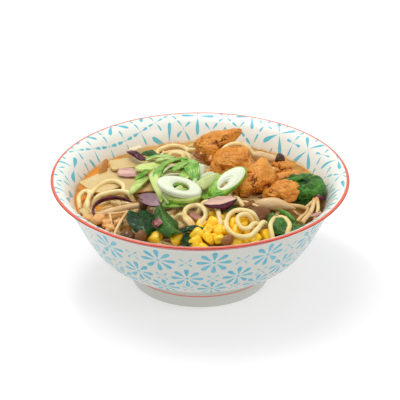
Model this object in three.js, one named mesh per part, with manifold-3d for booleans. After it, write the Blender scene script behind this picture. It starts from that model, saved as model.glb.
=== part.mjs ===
// A bowl of tantanmen ramen: a glazed ceramic bowl on a foot ring, the broth in it, a heap of noodles
// half sunk in the broth, and the toppings that lie on the heap: fried chicken chunks, slices of spring
// onion, wilted spinach, mushrooms, red onion, bamboo slabs and sweetcorn.
// Millimetres, +Z up, the origin at the centre of the foot, the front of the bowl towards -Y.

import * as THREE from 'three';
import { mergeVertices } from 'three/addons/utils/BufferGeometryUtils.js';
import Module from 'manifold-3d';

const wasm = await Module();
wasm.setup();

// ---------------------------------------------------------------- driving dimensions
const SIMPLER = 0.3; // how far a cut face may be from its true place, to save small triangles
const GAP = 0.3; // clear distance between two pieces that touch
const CLEARANCE = GAP + SIMPLER; // how far a cut stays from what it clears
const SHARPEST = 0.45; // cosine past which a sharp edge is not followed out when a piece is swollen

const RIM_RADIUS = 105;
const BOWL_HEIGHT = 78;
const WALL = 4;
const LIP = 2.6; // thickness of the wall at the lip
const FOOT_RADIUS = 49.3;
const FOOT_WIDTH = 5; // width of the ring that the bowl stands on
const FOOT_CREASE = [50.5, 12.3]; // where the foot meets the wall: radius, height
const FOOT_BULGE = [50.9, 9.6];
const UNDERSIDE_HEIGHT = 8; // the recess inside the foot ring
const FLOOR_HEIGHT = 14.5; // the inside of the bowl at its middle
// the outer wall between the foot and the rim: radius, height
const OUTER_WALL = [[56, 16], [69.9, 24], [77.1, 32], [83.2, 42], [88.2, 52], [93.2, 62], [98.5, 72]];
const BOWL_SIDES = 36;

const BROTH_LEVEL = 60.5;

const HEAP_RADIUS = 79; // the noodle heap where it leaves the broth
const HEAP_SUNK = 11; // how deep its underside lies in the broth
const HEAP_EDGE_HEIGHT = 61.5;
const HEAP_CROWN_HEIGHT = 67.5;
const NOODLE_RADIUS = 1.7;
const NOODLE_STEP = 5.8; // length of one straight piece of a noodle
const NOODLE_CLIMB = 6; // how high a noodle may ride over the heap's core
const SPROUT_RADIUS = 0.9;
const SPROUT_STEP = 8;

// ---------------------------------------------------------------- small helpers
const toRadians = THREE.MathUtils.degToRad;

/** A repeatable number between 0 and 1 for each seed. */
function hash(seed) {
  const s = Math.sin(seed * 12.9898 + 4.1414) * 43758.5453;
  return s - Math.floor(s);
}

/** Smooth unevenness of about -1 to 1: five sine waves in directions that the seed picks. */
function waves(x, y, z, seed) {
  let sum = 0;
  for (let k = 0; k < 5; k += 1) {
    const pick = seed + 11 * k;
    const dx = 2 * hash(pick) - 1;
    const dy = 2 * hash(pick + 1) - 1;
    const dz = 2 * hash(pick + 2) - 1;
    const phase = 2 * Math.PI * hash(pick + 3);
    sum += Math.sin((dx * x + dy * y + dz * z) * (1 + 0.5 * k) + phase) / (1 + 0.4 * k);
  }
  return sum / 2;
}

/** Moves every vertex of a geometry by a function that changes the point it is given. */
function reshape(geometry, move) {
  const position = geometry.getAttribute('position');
  const point = new THREE.Vector3();
  for (let i = 0; i < position.count; i += 1) {
    point.fromBufferAttribute(position, i);
    move(point);
    position.setXYZ(i, point.x, point.y, point.z);
  }
  return geometry;
}

/** The same geometry with its shared vertices joined and its faces pointing outwards. */
function closed(geometry) {
  const bare = geometry.clone();
  bare.deleteAttribute('normal');
  bare.deleteAttribute('uv');
  const joined = mergeVertices(bare, 1e-4);
  const index = joined.getIndex().array;
  const p = joined.getAttribute('position').array;
  const kept = [];
  let volume = 0;
  for (let t = 0; t < index.length; t += 3) {
    const [a, b, c] = [index[t], index[t + 1], index[t + 2]];
    if (a === b || b === c || c === a) {
      continue;
    }
    kept.push(a, b, c);
    const A = new THREE.Vector3().fromArray(p, 3 * a);
    const B = new THREE.Vector3().fromArray(p, 3 * b);
    const C = new THREE.Vector3().fromArray(p, 3 * c);
    volume += A.dot(B.cross(C));
  }
  joined.setIndex(volume < 0 ? kept.reverse() : kept);
  joined.computeVertexNormals();
  return joined;
}

/** A closed geometry as a solid that can be joined and cut. */
function solidOf(geometry) {
  const mesh = closed(geometry);
  return new wasm.Manifold(new wasm.Mesh({
    numProp: 3,
    vertProperties: new Float32Array(mesh.getAttribute('position').array),
    triVerts: new Uint32Array(mesh.getIndex().array),
  }));
}

/** A solid back as a geometry. */
function geometryOf(solid) {
  const mesh = solid.getMesh();
  const geometry = new THREE.BufferGeometry();
  geometry.setAttribute('position', new THREE.BufferAttribute(new Float32Array(mesh.vertProperties), 3));
  geometry.setIndex(new THREE.BufferAttribute(new Uint32Array(mesh.triVerts), 1));
  geometry.computeVertexNormals();
  return geometry;
}

/** The geometry with each of its faces moved outwards, for cutting a clearance. */
function swollen(geometry, by) {
  const mesh = closed(geometry);
  const position = mesh.getAttribute('position');
  const normal = mesh.getAttribute('normal');
  const index = mesh.getIndex().array;
  const lean = new Float32Array(position.count).fill(1); // cosine between a vertex's normal and its faces'
  for (let t = 0; t < index.length; t += 3) {
    const [a, b, c] = [0, 1, 2].map((s) => new THREE.Vector3().fromBufferAttribute(position, index[t + s]));
    const face = new THREE.Triangle(a, b, c).getNormal(new THREE.Vector3());
    for (let s = 0; s < 3; s += 1) {
      const i = index[t + s];
      const cosine = face.dot(new THREE.Vector3().fromBufferAttribute(normal, i));
      lean[i] = Math.min(lean[i], Math.max(SHARPEST, cosine));
    }
  }
  for (let i = 0; i < position.count; i += 1) {
    const out = new THREE.Vector3().fromBufferAttribute(normal, i).multiplyScalar(by / lean[i]);
    position.setXYZ(i, position.getX(i) + out.x, position.getY(i) + out.y, position.getZ(i) + out.z);
  }
  return mesh;
}

/** The largest body of a solid that a cut may have split. */
function largestBody(solid) {
  const bodies = solid.decompose();
  return bodies.reduce((best, body) => (body.volume() > best.volume() ? body : best), bodies[0]);
}

// ---------------------------------------------------------------- forms of the food

/** Closes an open sheet into a thin solid: both faces carry the same triangles, thinner at the rim. */
function thicken(sheet, thickness) {
  const bare = sheet.clone();
  bare.deleteAttribute('normal');
  bare.deleteAttribute('uv');
  const face = mergeVertices(bare, 1e-4);
  face.computeVertexNormals();
  const index = Array.from(face.getIndex().array);
  const position = face.getAttribute('position');
  const normal = face.getAttribute('normal');
  const count = position.count;
  const edges = new Map();
  for (let t = 0; t < index.length; t += 3) {
    for (let s = 0; s < 3; s += 1) {
      const from = index[t + s];
      const to = index[t + (s + 1) % 3];
      edges.set(`${from},${to}`, [from, to]);
    }
  }
  const rim = [...edges.values()].filter(([from, to]) => !edges.has(`${to},${from}`));
  const atRim = new Set(rim.flat());
  const points = new Float32Array(6 * count);
  for (let i = 0; i < count; i += 1) {
    const half = (atRim.has(i) ? 0.35 : 0.5) * thickness;
    const at = new THREE.Vector3().fromBufferAttribute(position, i);
    const out = new THREE.Vector3().fromBufferAttribute(normal, i).multiplyScalar(half);
    at.clone().add(out).toArray(points, 3 * i);
    at.clone().sub(out).toArray(points, 3 * (i + count));
  }
  const faces = [...index];
  for (let t = 0; t < index.length; t += 3) {
    faces.push(index[t] + count, index[t + 2] + count, index[t + 1] + count);
  }
  for (const [from, to] of rim) {
    faces.push(to, from, from + count, to, from + count, to + count);
  }
  const solid = new THREE.BufferGeometry();
  solid.setAttribute('position', new THREE.BufferAttribute(points, 3));
  solid.setIndex(faces);
  return solid;
}

/**
 * A leaf, petal, strip or slab. Its length lies along X. The width narrows towards both ends by taper.
 * Across, it curls into an arc of curl degrees; along, it bends into an arc of bend degrees, ends down;
 * ripples waves run along its edges, and twist turns one end against the other.
 */
function sheet({ length, width, thickness, taper = 0, curl = 0, bend = 0, ripple = 0, ripples = 2,
  twist = 0, steps = [8, 3], seed = 1 }) {
  const plane = new THREE.PlaneGeometry(1, 1, steps[0], steps[1]);
  const curlAngle = toRadians(curl);
  const bendAngle = toRadians(bend);
  const bendRadius = bendAngle === 0 ? 0 : length / bendAngle;
  reshape(plane, (p) => {
    const u = p.x + 0.5;
    const v = 2 * p.y;
    const narrow = 1 - taper * (1 - Math.sin(Math.PI * (0.06 + 0.88 * u)) ** 0.7);
    const half = 0.5 * width * narrow;
    const wave = ripple * Math.sin(2 * Math.PI * ripples * u + 6.3 * hash(seed)) * v * Math.abs(v);
    let y = v * half;
    let z = wave;
    if (curlAngle !== 0) {
      const curlRadius = 2 * half / curlAngle;
      y = (curlRadius - wave) * Math.sin(v * half / curlRadius);
      z = curlRadius - (curlRadius - wave) * Math.cos(v * half / curlRadius);
    }
    const turn = toRadians(twist) * (u - 0.5);
    const turned = [y * Math.cos(turn) - z * Math.sin(turn), y * Math.sin(turn) + z * Math.cos(turn)];
    const along = (u - 0.5) * length;
    if (bendAngle === 0) {
      p.set(along, turned[0], turned[1]);
    } else {
      const angle = along / bendRadius;
      const radius = bendRadius + turned[1];
      p.set(radius * Math.sin(angle), turned[0], radius * Math.cos(angle) - bendRadius);
    }
  });
  return thicken(plane, thickness);
}

/** A craggy chunk: a sphere pulled towards a box, its surface heaved in lumps. */
function chunk({ size, boxy = 3, relief, seed, detail = 2 }) {
  return reshape(new THREE.IcosahedronGeometry(1, detail), (p) => {
    p.normalize();
    const box = (Math.abs(p.x) ** boxy + Math.abs(p.y) ** boxy + Math.abs(p.z) ** boxy) ** (-1 / boxy);
    const heave = 1 + relief * waves(2.6 * p.x, 2.6 * p.y, 2.6 * p.z, seed);
    p.multiplyScalar(0.5 * box * heave);
    p.set(p.x * size[0], p.y * size[1], p.z * size[2]);
  });
}

/** An oblique slice of a hollow stalk: an oval ring whose hole is a share of its size. */
function ringSlice({ length, width, height, hole, slant = 0 }) {
  const inset = 0.2 * (1 - hole);
  const profile = [
    [hole, -0.4], [hole, 0.3], [hole + inset, 0.5], [1 - inset, 0.5], [1, 0.2], [1 - inset, -0.5],
    [hole, -0.4],
  ].map(([r, h]) => new THREE.Vector2(r, h));
  const ring = new THREE.LatheGeometry(profile, 11);
  ring.rotateX(Math.PI / 2);
  return reshape(ring, (p) => {
    p.set(0.5 * length * p.x, 0.5 * width * p.y, height * p.z + slant * p.x);
  });
}

/** A round stalk or cap: radii along its axis, which lies along X and may bend, ends down. */
function stalk({ profile, bend = 0, flatten = 1, sides = 8 }) {
  const first = profile[0][0];
  const last = profile[profile.length - 1][0];
  const length = last - first;
  const outline = [[first, 0], ...profile, [last, 0]].map(([s, r]) => new THREE.Vector2(r, s));
  const lathe = new THREE.LatheGeometry(outline, sides);
  lathe.rotateZ(-Math.PI / 2);
  const bendAngle = toRadians(bend);
  return reshape(lathe, (p) => {
    const along = p.x - first - 0.5 * length;
    p.set(along, p.y, p.z * flatten);
    if (bendAngle !== 0) {
      const bendRadius = length / bendAngle;
      const angle = along / bendRadius;
      const radius = bendRadius + p.z;
      p.set(radius * Math.sin(angle), p.y, radius * Math.cos(angle) - bendRadius);
    }
  });
}

/** A grain of sweetcorn: blunt at its crown, narrower towards its root, which points along -X. */
function kernel({ length, width, height }) {
  return reshape(new THREE.SphereGeometry(1, 6, 4), (p) => {
    const shoulder = 1 - 0.28 * Math.max(0, -p.x);
    const blunt = Math.sign(p.x) * Math.abs(p.x) ** (p.x > 0 ? 0.75 : 1);
    p.set(0.5 * length * blunt, 0.5 * width * p.y * shoulder, 0.5 * height * p.z * shoulder);
  });
}

/** A round strand along points, with a flat end cap at both ends. */
function strand(points, radius, sides) {
  const section = new THREE.Shape();
  for (let k = 0; k < sides; k += 1) {
    const angle = 2 * Math.PI * k / sides;
    const [x, y] = [radius * Math.cos(angle), radius * Math.sin(angle)];
    if (k === 0) {
      section.moveTo(x, y);
    } else {
      section.lineTo(x, y);
    }
  }
  const path = new THREE.CatmullRomCurve3(points, false, 'centripetal');
  const steps = Math.max(2, points.length - 1);
  return new THREE.ExtrudeGeometry(section, { steps, bevelEnabled: false, extrudePath: path });
}

/** Turns a form about X by roll, lifts its +X end by pitch, and turns it about Z by yaw, in degrees. */
function turned(geometry, { yaw = 0, pitch = 0, roll = 0 }) {
  geometry.rotateX(toRadians(roll));
  geometry.rotateY(-toRadians(pitch));
  geometry.rotateZ(toRadians(yaw));
  return geometry;
}

// ---------------------------------------------------------------- what lies where, seen from above
const CELL = 0.8;
const CELLS = Math.ceil(2 * RIM_RADIUS / CELL);
const EMPTY = -1000;
const cellOf = (v) => Math.min(CELLS - 1, Math.max(0, Math.floor((v + RIM_RADIUS) / CELL)));

/** Visits points spread over every triangle of a geometry, about half a cell apart. */
function overSurface(geometry, visit) {
  const index = geometry.getIndex().array;
  const position = geometry.getAttribute('position');
  const corner = [new THREE.Vector3(), new THREE.Vector3(), new THREE.Vector3()];
  for (let t = 0; t < index.length; t += 3) {
    corner.forEach((c, s) => c.fromBufferAttribute(position, index[t + s]));
    const edge = Math.max(corner[0].distanceTo(corner[1]), corner[1].distanceTo(corner[2]),
      corner[2].distanceTo(corner[0]));
    const steps = Math.max(1, Math.ceil(edge / (0.6 * CELL)));
    for (let i = 0; i <= steps; i += 1) {
      for (let j = 0; j <= steps - i; j += 1) {
        const [a, b] = [i / steps, j / steps];
        const c = 1 - a - b;
        visit(
          a * corner[0].x + b * corner[1].x + c * corner[2].x,
          a * corner[0].y + b * corner[1].y + c * corner[2].y,
          a * corner[0].z + b * corner[1].z + c * corner[2].z,
        );
      }
    }
  }
}

/** A map of the highest point that pieces reach over each cell. */
function newMap() {
  return new Float32Array(CELLS * CELLS).fill(EMPTY);
}

/** Marks a geometry on a map. */
function stamp(map, geometry) {
  overSurface(geometry, (x, y, z) => {
    const cell = cellOf(y) * CELLS + cellOf(x);
    map[cell] = Math.max(map[cell], z);
  });
}

/** The highest mark within a distance of a point. */
function highestNear(map, x, y, reach) {
  let top = EMPTY;
  for (let row = cellOf(y - reach); row <= cellOf(y + reach); row += 1) {
    for (let column = cellOf(x - reach); column <= cellOf(x + reach); column += 1) {
      top = Math.max(top, map[row * CELLS + column]);
    }
  }
  return top;
}

// ---------------------------------------------------------------- bowl and broth

/** The outer wall from the foot's crease up to the lip, as a smooth curve in radius and height. */
function outerWallCurve() {
  const points = [FOOT_CREASE, ...OUTER_WALL, [RIM_RADIUS - 1, BOWL_HEIGHT - 1.6]];
  return new THREE.SplineCurve(points.map(([r, h]) => new THREE.Vector2(r, h)));
}

/** The inner wall: the outer one moved inwards by the wall's thickness, down to the bowl's floor. */
function innerWallPoints(clearance = 0) {
  const curve = outerWallCurve();
  const points = [];
  const steps = 5;
  for (let k = steps; k >= 1; k -= 1) {
    const t = k / steps;
    const at = curve.getPoint(t);
    const along = curve.getTangent(t);
    const thickness = THREE.MathUtils.lerp(WALL, LIP, THREE.MathUtils.smoothstep(t, 0.75, 1)) + clearance;
    const r = at.x - thickness * along.y;
    const h = Math.min(at.y + thickness * along.x, BOWL_HEIGHT - 0.5);
    if (h > FLOOR_HEIGHT + clearance + 1.5) {
      points.push(new THREE.Vector2(r, h));
    }
  }
  points.push(new THREE.Vector2(0.62 * FOOT_RADIUS, FLOOR_HEIGHT + clearance + 0.6));
  points.push(new THREE.Vector2(0, FLOOR_HEIGHT + clearance));
  return points;
}

function bowl() {
  const curve = outerWallCurve();
  const outside = curve.getPoints(8);
  const profile = [
    new THREE.Vector2(0, UNDERSIDE_HEIGHT),
    new THREE.Vector2(FOOT_RADIUS - FOOT_WIDTH - 2.4, UNDERSIDE_HEIGHT),
    new THREE.Vector2(FOOT_RADIUS - FOOT_WIDTH, 0),
    new THREE.Vector2(FOOT_RADIUS, 0),
    new THREE.Vector2(...FOOT_BULGE),
    ...outside,
    new THREE.Vector2(RIM_RADIUS, BOWL_HEIGHT - 0.7),
    new THREE.Vector2(RIM_RADIUS - 0.4, BOWL_HEIGHT - 0.1),
    new THREE.Vector2(RIM_RADIUS - 1.2, BOWL_HEIGHT),
    ...innerWallPoints(),
  ];
  return new THREE.LatheGeometry(profile, BOWL_SIDES).rotateX(Math.PI / 2);
}

function broth() {
  const points = innerWallPoints(GAP);
  const wall = points.filter((p) => p.y < BROTH_LEVEL - 1);
  const above = points[points.length - wall.length - 1];
  const share = (BROTH_LEVEL - wall[0].y) / (above.y - wall[0].y);
  const edge = THREE.MathUtils.lerp(wall[0].x, above.x, share);
  const profile = [new THREE.Vector2(0, BROTH_LEVEL), new THREE.Vector2(edge, BROTH_LEVEL), ...wall];
  return new THREE.LatheGeometry(profile, BOWL_SIDES).rotateX(Math.PI / 2);
}

// ---------------------------------------------------------------- the heap of noodles

/** How far out the heap reaches in one direction. */
function heapEdge(angle) {
  return HEAP_RADIUS + 1.6 * Math.sin(3 * angle + 0.6) + 1.1 * Math.sin(7 * angle + 2);
}

/** The height of the heap's core over a point. */
function heapTop(x, y) {
  const share = Math.min(1, Math.hypot(x, y) / heapEdge(Math.atan2(y, x)));
  const dome = THREE.MathUtils.lerp(HEAP_CROWN_HEIGHT, HEAP_EDGE_HEIGHT, share * share);
  return dome + 0.7 * waves(0.14 * x, 0.14 * y, 0, 40);
}

function heapCore(clearance = 0) {
  const rings = [0, 0.2, 0.42, 0.64, 0.84, 1];
  const underside = BROTH_LEVEL - HEAP_SUNK - clearance;
  const profile = [
    ...rings.map((share) => new THREE.Vector2(share, 1)),
    new THREE.Vector2(1.025, 0.6),
    new THREE.Vector2(0.97, 0),
    new THREE.Vector2(0, 0),
  ];
  const lathe = new THREE.LatheGeometry(profile, 26).rotateX(Math.PI / 2);
  return reshape(lathe, (p) => {
    const share = Math.hypot(p.x, p.y);
    const level = p.z;
    if (share > 0) {
      const reach = heapEdge(Math.atan2(p.y, p.x)) + clearance / share;
      p.x *= reach;
      p.y *= reach;
    }
    const top = heapTop(p.x, p.y) + clearance;
    p.z = THREE.MathUtils.lerp(underside, top, level);
  });
}

// ---------------------------------------------------------------- laying the pieces down
const STEP_UP = 0.4;
const MOST_STEPS_UP = 4;
const coreMap = newMap();
stamp(coreMap, closed(heapCore()));
const toppingMap = newMap();
const laid = []; // what lies in the bowl so far: name, geometry, solid with its clearance, box
const swollenCore = solidOf(heapCore(CLEARANCE));
const swollenBowl = solidOf(swollen(bowl(), CLEARANCE));
const swollenBroth = solidOf(swollen(broth(), CLEARANCE)).subtract(solidOf(heapCore()));

/** How far a geometry has to rise to clear a map by the gap. */
function riseOver(map, geometry) {
  let rise = EMPTY;
  overSurface(geometry, (x, y, z) => {
    const top = map[cellOf(y) * CELLS + cellOf(x)];
    if (top > EMPTY) {
      rise = Math.max(rise, top - z);
    }
  });
  return rise + GAP;
}

/** Cuts a solid clear of the bowl, of the broth and of every piece that lies there already. */
function cutClear(solid, geometry) {
  geometry.computeBoundingBox();
  const near = laid.filter((piece) => piece.box.intersectsBox(geometry.boundingBox));
  return [...near.map((piece) => piece.clear), swollenBowl, swollenBroth]
    .reduce((rest, clear) => rest.subtract(clear), solid);
}

/** A geometry cut to fit among the heap's core and everything round it, and the share that it lost. */
function fitted(geometry) {
  const form = solidOf(geometry);
  const solid = cutClear(form, geometry).subtract(swollenCore);
  const lost = 1 - solid.volume() / form.volume();
  if (lost < 1e-4) {
    return { geometry, lost: 0 };
  }
  return { geometry: geometryOf(largestBody(solid.simplify(SIMPLER))), lost };
}

/** Records a piece that lies in its place, with the solid that later pieces have to stay out of. */
function record(name, geometry, clear = solidOf(swollen(geometry, CLEARANCE))) {
  const box = new THREE.Box3().setFromBufferAttribute(geometry.getAttribute('position')).expandByScalar(1);
  stamp(toppingMap, closed(geometry));
  laid.push({ name, geometry, clear, box });
}

/**
 * Lays a form over a point: it comes down on the heap until it presses sink millimetres into it, and lift
 * raises it onto what lies there already. A thin form then rises until little of it would be lost, and
 * what still meets its neighbours is cut to fit.
 */
function lay(name, form, { at, sink = 0, lift = 0, ...turns }) {
  const geometry = closed(turned(form, turns));
  geometry.translate(at[0], at[1], 0);
  geometry.translate(0, 0, riseOver(coreMap, geometry) + CLEARANCE - sink + lift);
  let fit = fitted(geometry);
  if (sink === 0) {
    for (let step = 0; step < MOST_STEPS_UP && fit.lost > 0.004; step += 1) {
      geometry.translate(0, 0, STEP_UP);
      fit = fitted(geometry);
    }
  }
  record(name, fit.geometry);
}

/**
 * The points of a strand over a route seen from above: its axis is half sunk in the heap's core, lies on
 * the toppings where it crosses them, and spans the hollows between them. Its ends dive into the heap.
 */
function strandOver(route, radius, step, maps, climb) {
  const plan = new THREE.CatmullRomCurve3(route.map(([x, y]) => new THREE.Vector3(x, y, 0)),
    false, 'centripetal');
  const points = plan.getSpacedPoints(Math.round(plan.getLength() / step));
  const rest = points.map((p) => {
    let z = heapTop(p.x, p.y) + radius + GAP;
    for (const { map, gap } of maps) {
      z = Math.max(z, highestNear(map, p.x, p.y, radius + gap) + radius + gap);
    }
    return Math.min(z, heapTop(p.x, p.y) + climb);
  });
  [0, rest.length - 1].forEach((i) => {
    rest[i] = heapTop(points[i].x, points[i].y) - radius;
  });
  for (let pass = 0; pass < 12; pass += 1) {
    for (let i = 1; i < rest.length - 1; i += 1) {
      rest[i] = Math.max(rest[i], 0.5 * (rest[i - 1] + rest[i + 1]) - 0.12);
    }
  }
  points.forEach((p, i) => {
    p.z = rest[i];
  });
  return points;
}

// ---------------------------------------------------------------- the toppings, from the lowest up

function layBamboo() {
  lay('bamboo_slab_1', sheet({ length: 27, width: 27, thickness: 3, bend: 8, curl: 6, steps: [4, 3] }),
    { at: [-68, 15], yaw: 28 });
  lay('bamboo_slab_2', sheet({ length: 28, width: 15, thickness: 2.6, bend: 8, steps: [5, 2] }),
    { at: [-51, 35], yaw: 12, lift: 1 });
  lay('bamboo_slab_3', sheet({ length: 28, width: 20, thickness: 2.6, bend: -10, steps: [5, 3] }),
    { at: [-42, 2], yaw: 8 });
  lay('bamboo_slab_4', sheet({ length: 24, width: 11, thickness: 2.2, bend: 12, steps: [4, 2] }),
    { at: [-75, -32], yaw: -66 });
  lay('bamboo_block', chunk({ size: [9, 7, 9], boxy: 5, relief: 0.05, detail: 1, seed: 3 }),
    { at: [-46, 58], yaw: 20 });
  lay('peel_slice', sheet({ length: 15, width: 7, thickness: 1.6, taper: 0.8, bend: 20, steps: [6, 2] }),
    { at: [-69, 28], yaw: 70, pitch: 30, roll: 50 });
}

function laySpinach() {
  lay('spinach_leaf_1', sheet({ length: 25, width: 32, thickness: 1.5, taper: 0.6, bend: 34, curl: 50,
    ripple: 1.4, steps: [6, 5], seed: 5 }), { at: [-38, -48], yaw: 14, roll: 180 });
  lay('spinach_leaf_2', sheet({ length: 42, width: 17, thickness: 1.6, taper: 0.75, bend: 50, curl: 80,
    ripple: 1.2, steps: [8, 4], seed: 6 }), { at: [-22, -58], yaw: -72, roll: 180 });
  lay('spinach_ribbon', sheet({ length: 19, width: 7, thickness: 1.4, taper: 0.6, bend: 26, curl: 60,
    ripple: 0.6, steps: [6, 2], seed: 7 }), { at: [-5, -61], yaw: 4, lift: 1 });
  lay('spinach_leaf_3', sheet({ length: 20, width: 10, thickness: 1.4, taper: 0.7, bend: 26, curl: 50,
    ripple: 0.8, steps: [5, 3], seed: 8 }), { at: [-7, -70], yaw: 70 });
  lay('spinach_clump_right', chunk({ size: [27, 30, 15], boxy: 2.2, relief: 0.2, seed: 21 }),
    { at: [72, 0], yaw: -40, sink: 3 });
  lay('spinach_leaf_4', sheet({ length: 30, width: 22, thickness: 1.6, taper: 0.7, bend: 40, curl: 60,
    ripple: 1.4, steps: [7, 4], seed: 9 }), { at: [59, -52], yaw: -40, roll: 180 });
  lay('spinach_leaf_5', sheet({ length: 24, width: 17, thickness: 1.5, taper: 0.7, bend: 20, curl: 40,
    ripple: 1, steps: [6, 4], seed: 10 }), { at: [24, -32], yaw: 25 });
  lay('spinach_curl', sheet({ length: 20, width: 8, thickness: 1.6, taper: 0.5, bend: 150, ripple: 0.8,
    steps: [9, 2], seed: 11 }), { at: [-35, 45], yaw: -10, pitch: 8 });
}

function layRedOnion() {
  lay('red_onion_1', sheet({ length: 17, width: 9, thickness: 3.2, bend: 24, curl: 30, steps: [5, 2] }),
    { at: [-47, 36], yaw: -42, roll: 60, lift: 2 });
  lay('red_onion_2', sheet({ length: 20, width: 8, thickness: 2.6, taper: 0.3, bend: 14, curl: 30,
    steps: [5, 2] }), { at: [-48, 20], yaw: 2, roll: 12, lift: 2.5 });
  lay('red_onion_arc', sheet({ length: 38, width: 5.5, thickness: 2, taper: 0.4, bend: 130,
    steps: [10, 1] }), { at: [-64, -21], yaw: 22, roll: -78, sink: 1.4 });
  lay('red_onion_3', sheet({ length: 24, width: 14, thickness: 3, taper: 0.75, bend: 40, curl: 50,
    steps: [6, 2] }), { at: [14, -40], yaw: 12, roll: 130, lift: 1 });
  lay('red_onion_4', sheet({ length: 18, width: 5, thickness: 2, taper: 0.6, bend: 44, steps: [6, 1] }),
    { at: [-1, -47], yaw: -42, roll: 70 });
  lay('red_onion_5', sheet({ length: 8, width: 6, thickness: 2.4, bend: 20, curl: 40, steps: [3, 2] }),
    { at: [-29, -60], yaw: 60, roll: 40, lift: 4.5 });
  lay('red_onion_6', sheet({ length: 11, width: 5, thickness: 2, bend: 30, curl: 20, steps: [4, 1] }),
    { at: [83, -13], yaw: -20, roll: 50 });
}

const CORN_HEAP = [
  [-3, -69], [-2, -76], [6, -73], [12, -72], [5, -64], [13, -65], [8, -57], [9, -47], [15, -51], [21, -44],
  [30, -45], [20, -60], [28, -57], [25, -67],
];
const SINGLE_KERNELS = [[-31, -63], [-16, -69], [37, -65], [46, -60]];

/** One grain of corn over a point, turned by chance. */
function kernelAt(seed) {
  const size = 0.92 + 0.16 * hash(seed);
  const form = kernel({ length: 10.4 * size, width: 8.4 * size, height: 6.2 });
  return turned(form, {
    yaw: 360 * hash(seed + 1),
    pitch: 40 * hash(seed + 2) - 10,
    roll: 60 * hash(seed + 3),
  });
}

function layCorn() {
  const core = new THREE.SphereGeometry(1, 9, 4).scale(15, 12, 4).translate(13, -58, 65);
  let heap = solidOf(core);
  let clear = solidOf(swollen(core, GAP + 2 * SIMPLER));
  CORN_HEAP.forEach(([x, y], k) => {
    const lift = 3.4 - 0.012 * ((x - 13) ** 2 + (y + 58) ** 2) + 0.8 * hash(k + 70);
    const grain = kernelAt(4 * k + 100).translate(x, y, heapTop(x, y) + Math.max(1.6, lift));
    heap = heap.add(solidOf(grain));
    clear = clear.add(solidOf(swollen(grain, GAP + 2 * SIMPLER)));
  });
  record('corn_heap', fitted(geometryOf(heap.simplify(2 * SIMPLER))).geometry, clear);
  SINGLE_KERNELS.forEach(([x, y], k) => {
    lay(`corn_kernel_${k + 1}`, kernelAt(5 * k + 300), { at: [x, y], sink: 1.2 });
  });
}

function layMushrooms() {
  const stem = (length, thick) => [
    [0, 0.75 * thick], [0.3 * length, 0.95 * thick], [0.65 * length, 0.85 * thick], [length, 0.8 * thick],
  ];
  const cap = (length, radius) => [
    [length - 1, radius], [length + 1.4, 1.06 * radius], [length + 3.8, 0.85 * radius],
    [length + 5.4, 0.45 * radius],
  ];
  lay('mushroom_1', stalk({ profile: [...stem(30, 2.5), ...cap(30, 4.4)], bend: 14, sides: 7 }),
    { at: [-53, -32], yaw: 18, pitch: 4, sink: 1.6, lift: 1 });
  lay('mushroom_2', stalk({ profile: [...stem(14, 3.6), ...cap(14, 5.6)], bend: 10, sides: 7 }),
    { at: [51, 45], yaw: -12, pitch: 2, sink: 1.6 });
  lay('mushroom_cap_1', stalk({ profile: cap(0, 7.6), flatten: 0.8, sides: 10 }),
    { at: [41, -39], yaw: -60, pitch: 62, sink: 2 });
  lay('mushroom_cap_2', stalk({ profile: cap(0, 5.6), sides: 8 }),
    { at: [-50, -64], yaw: -100, pitch: 50, sink: 1.6 });
  lay('mushroom_cap_3', stalk({ profile: cap(0, 5), sides: 8 }),
    { at: [-40, -67], yaw: -80, pitch: 40, sink: 1.6 });
  lay('mushroom_cap_4', stalk({ profile: cap(0, 4.8), sides: 8 }),
    { at: [19, -74], yaw: -80, pitch: 30, sink: 1.6 });
  lay('mushroom_stem', stalk({ profile: [[0, 2.6], [4, 3.8], [12, 4.2], [20, 4.4], [27, 3.4], [31, 1.8]],
    bend: 52, sides: 10 }), { at: [51, -27], yaw: -6, roll: 12, sink: 1.6 });
}

function layChicken() {
  lay('chicken_chunk_1', chunk({ size: [35, 14, 15], relief: 0.16, seed: 31 }),
    { at: [15, 51], yaw: 8, pitch: 30, sink: 3 });
  lay('chicken_chunk_2', chunk({ size: [29, 22, 17], relief: 0.2, seed: 32 }),
    { at: [22, 29], yaw: -10, pitch: 4, sink: 1 });
  lay('chicken_chunk_3', chunk({ size: [22, 20, 16], relief: 0.2, seed: 33 }),
    { at: [34, -2], yaw: 24, sink: 3 });
  lay('chicken_chunk_4', chunk({ size: [24, 18, 14], relief: 0.22, seed: 34 }),
    { at: [57, -11], yaw: -8, sink: 1.5 });
  lay('chicken_chunk_5', chunk({ size: [19, 20, 21], boxy: 3.6, relief: 0.14, seed: 35 }),
    { at: [43, 4], yaw: 12, pitch: -8, sink: 1 });
  lay('chicken_chunk_6', chunk({ size: [16, 11, 8], relief: 0.12, seed: 36, detail: 1 }),
    { at: [59, 33], yaw: -14, sink: 1 });
  lay('chicken_chunk_7', chunk({ size: [18, 9, 7], relief: 0.12, seed: 37, detail: 1 }),
    { at: [62, 20], yaw: 12, sink: 1 });
}

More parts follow.
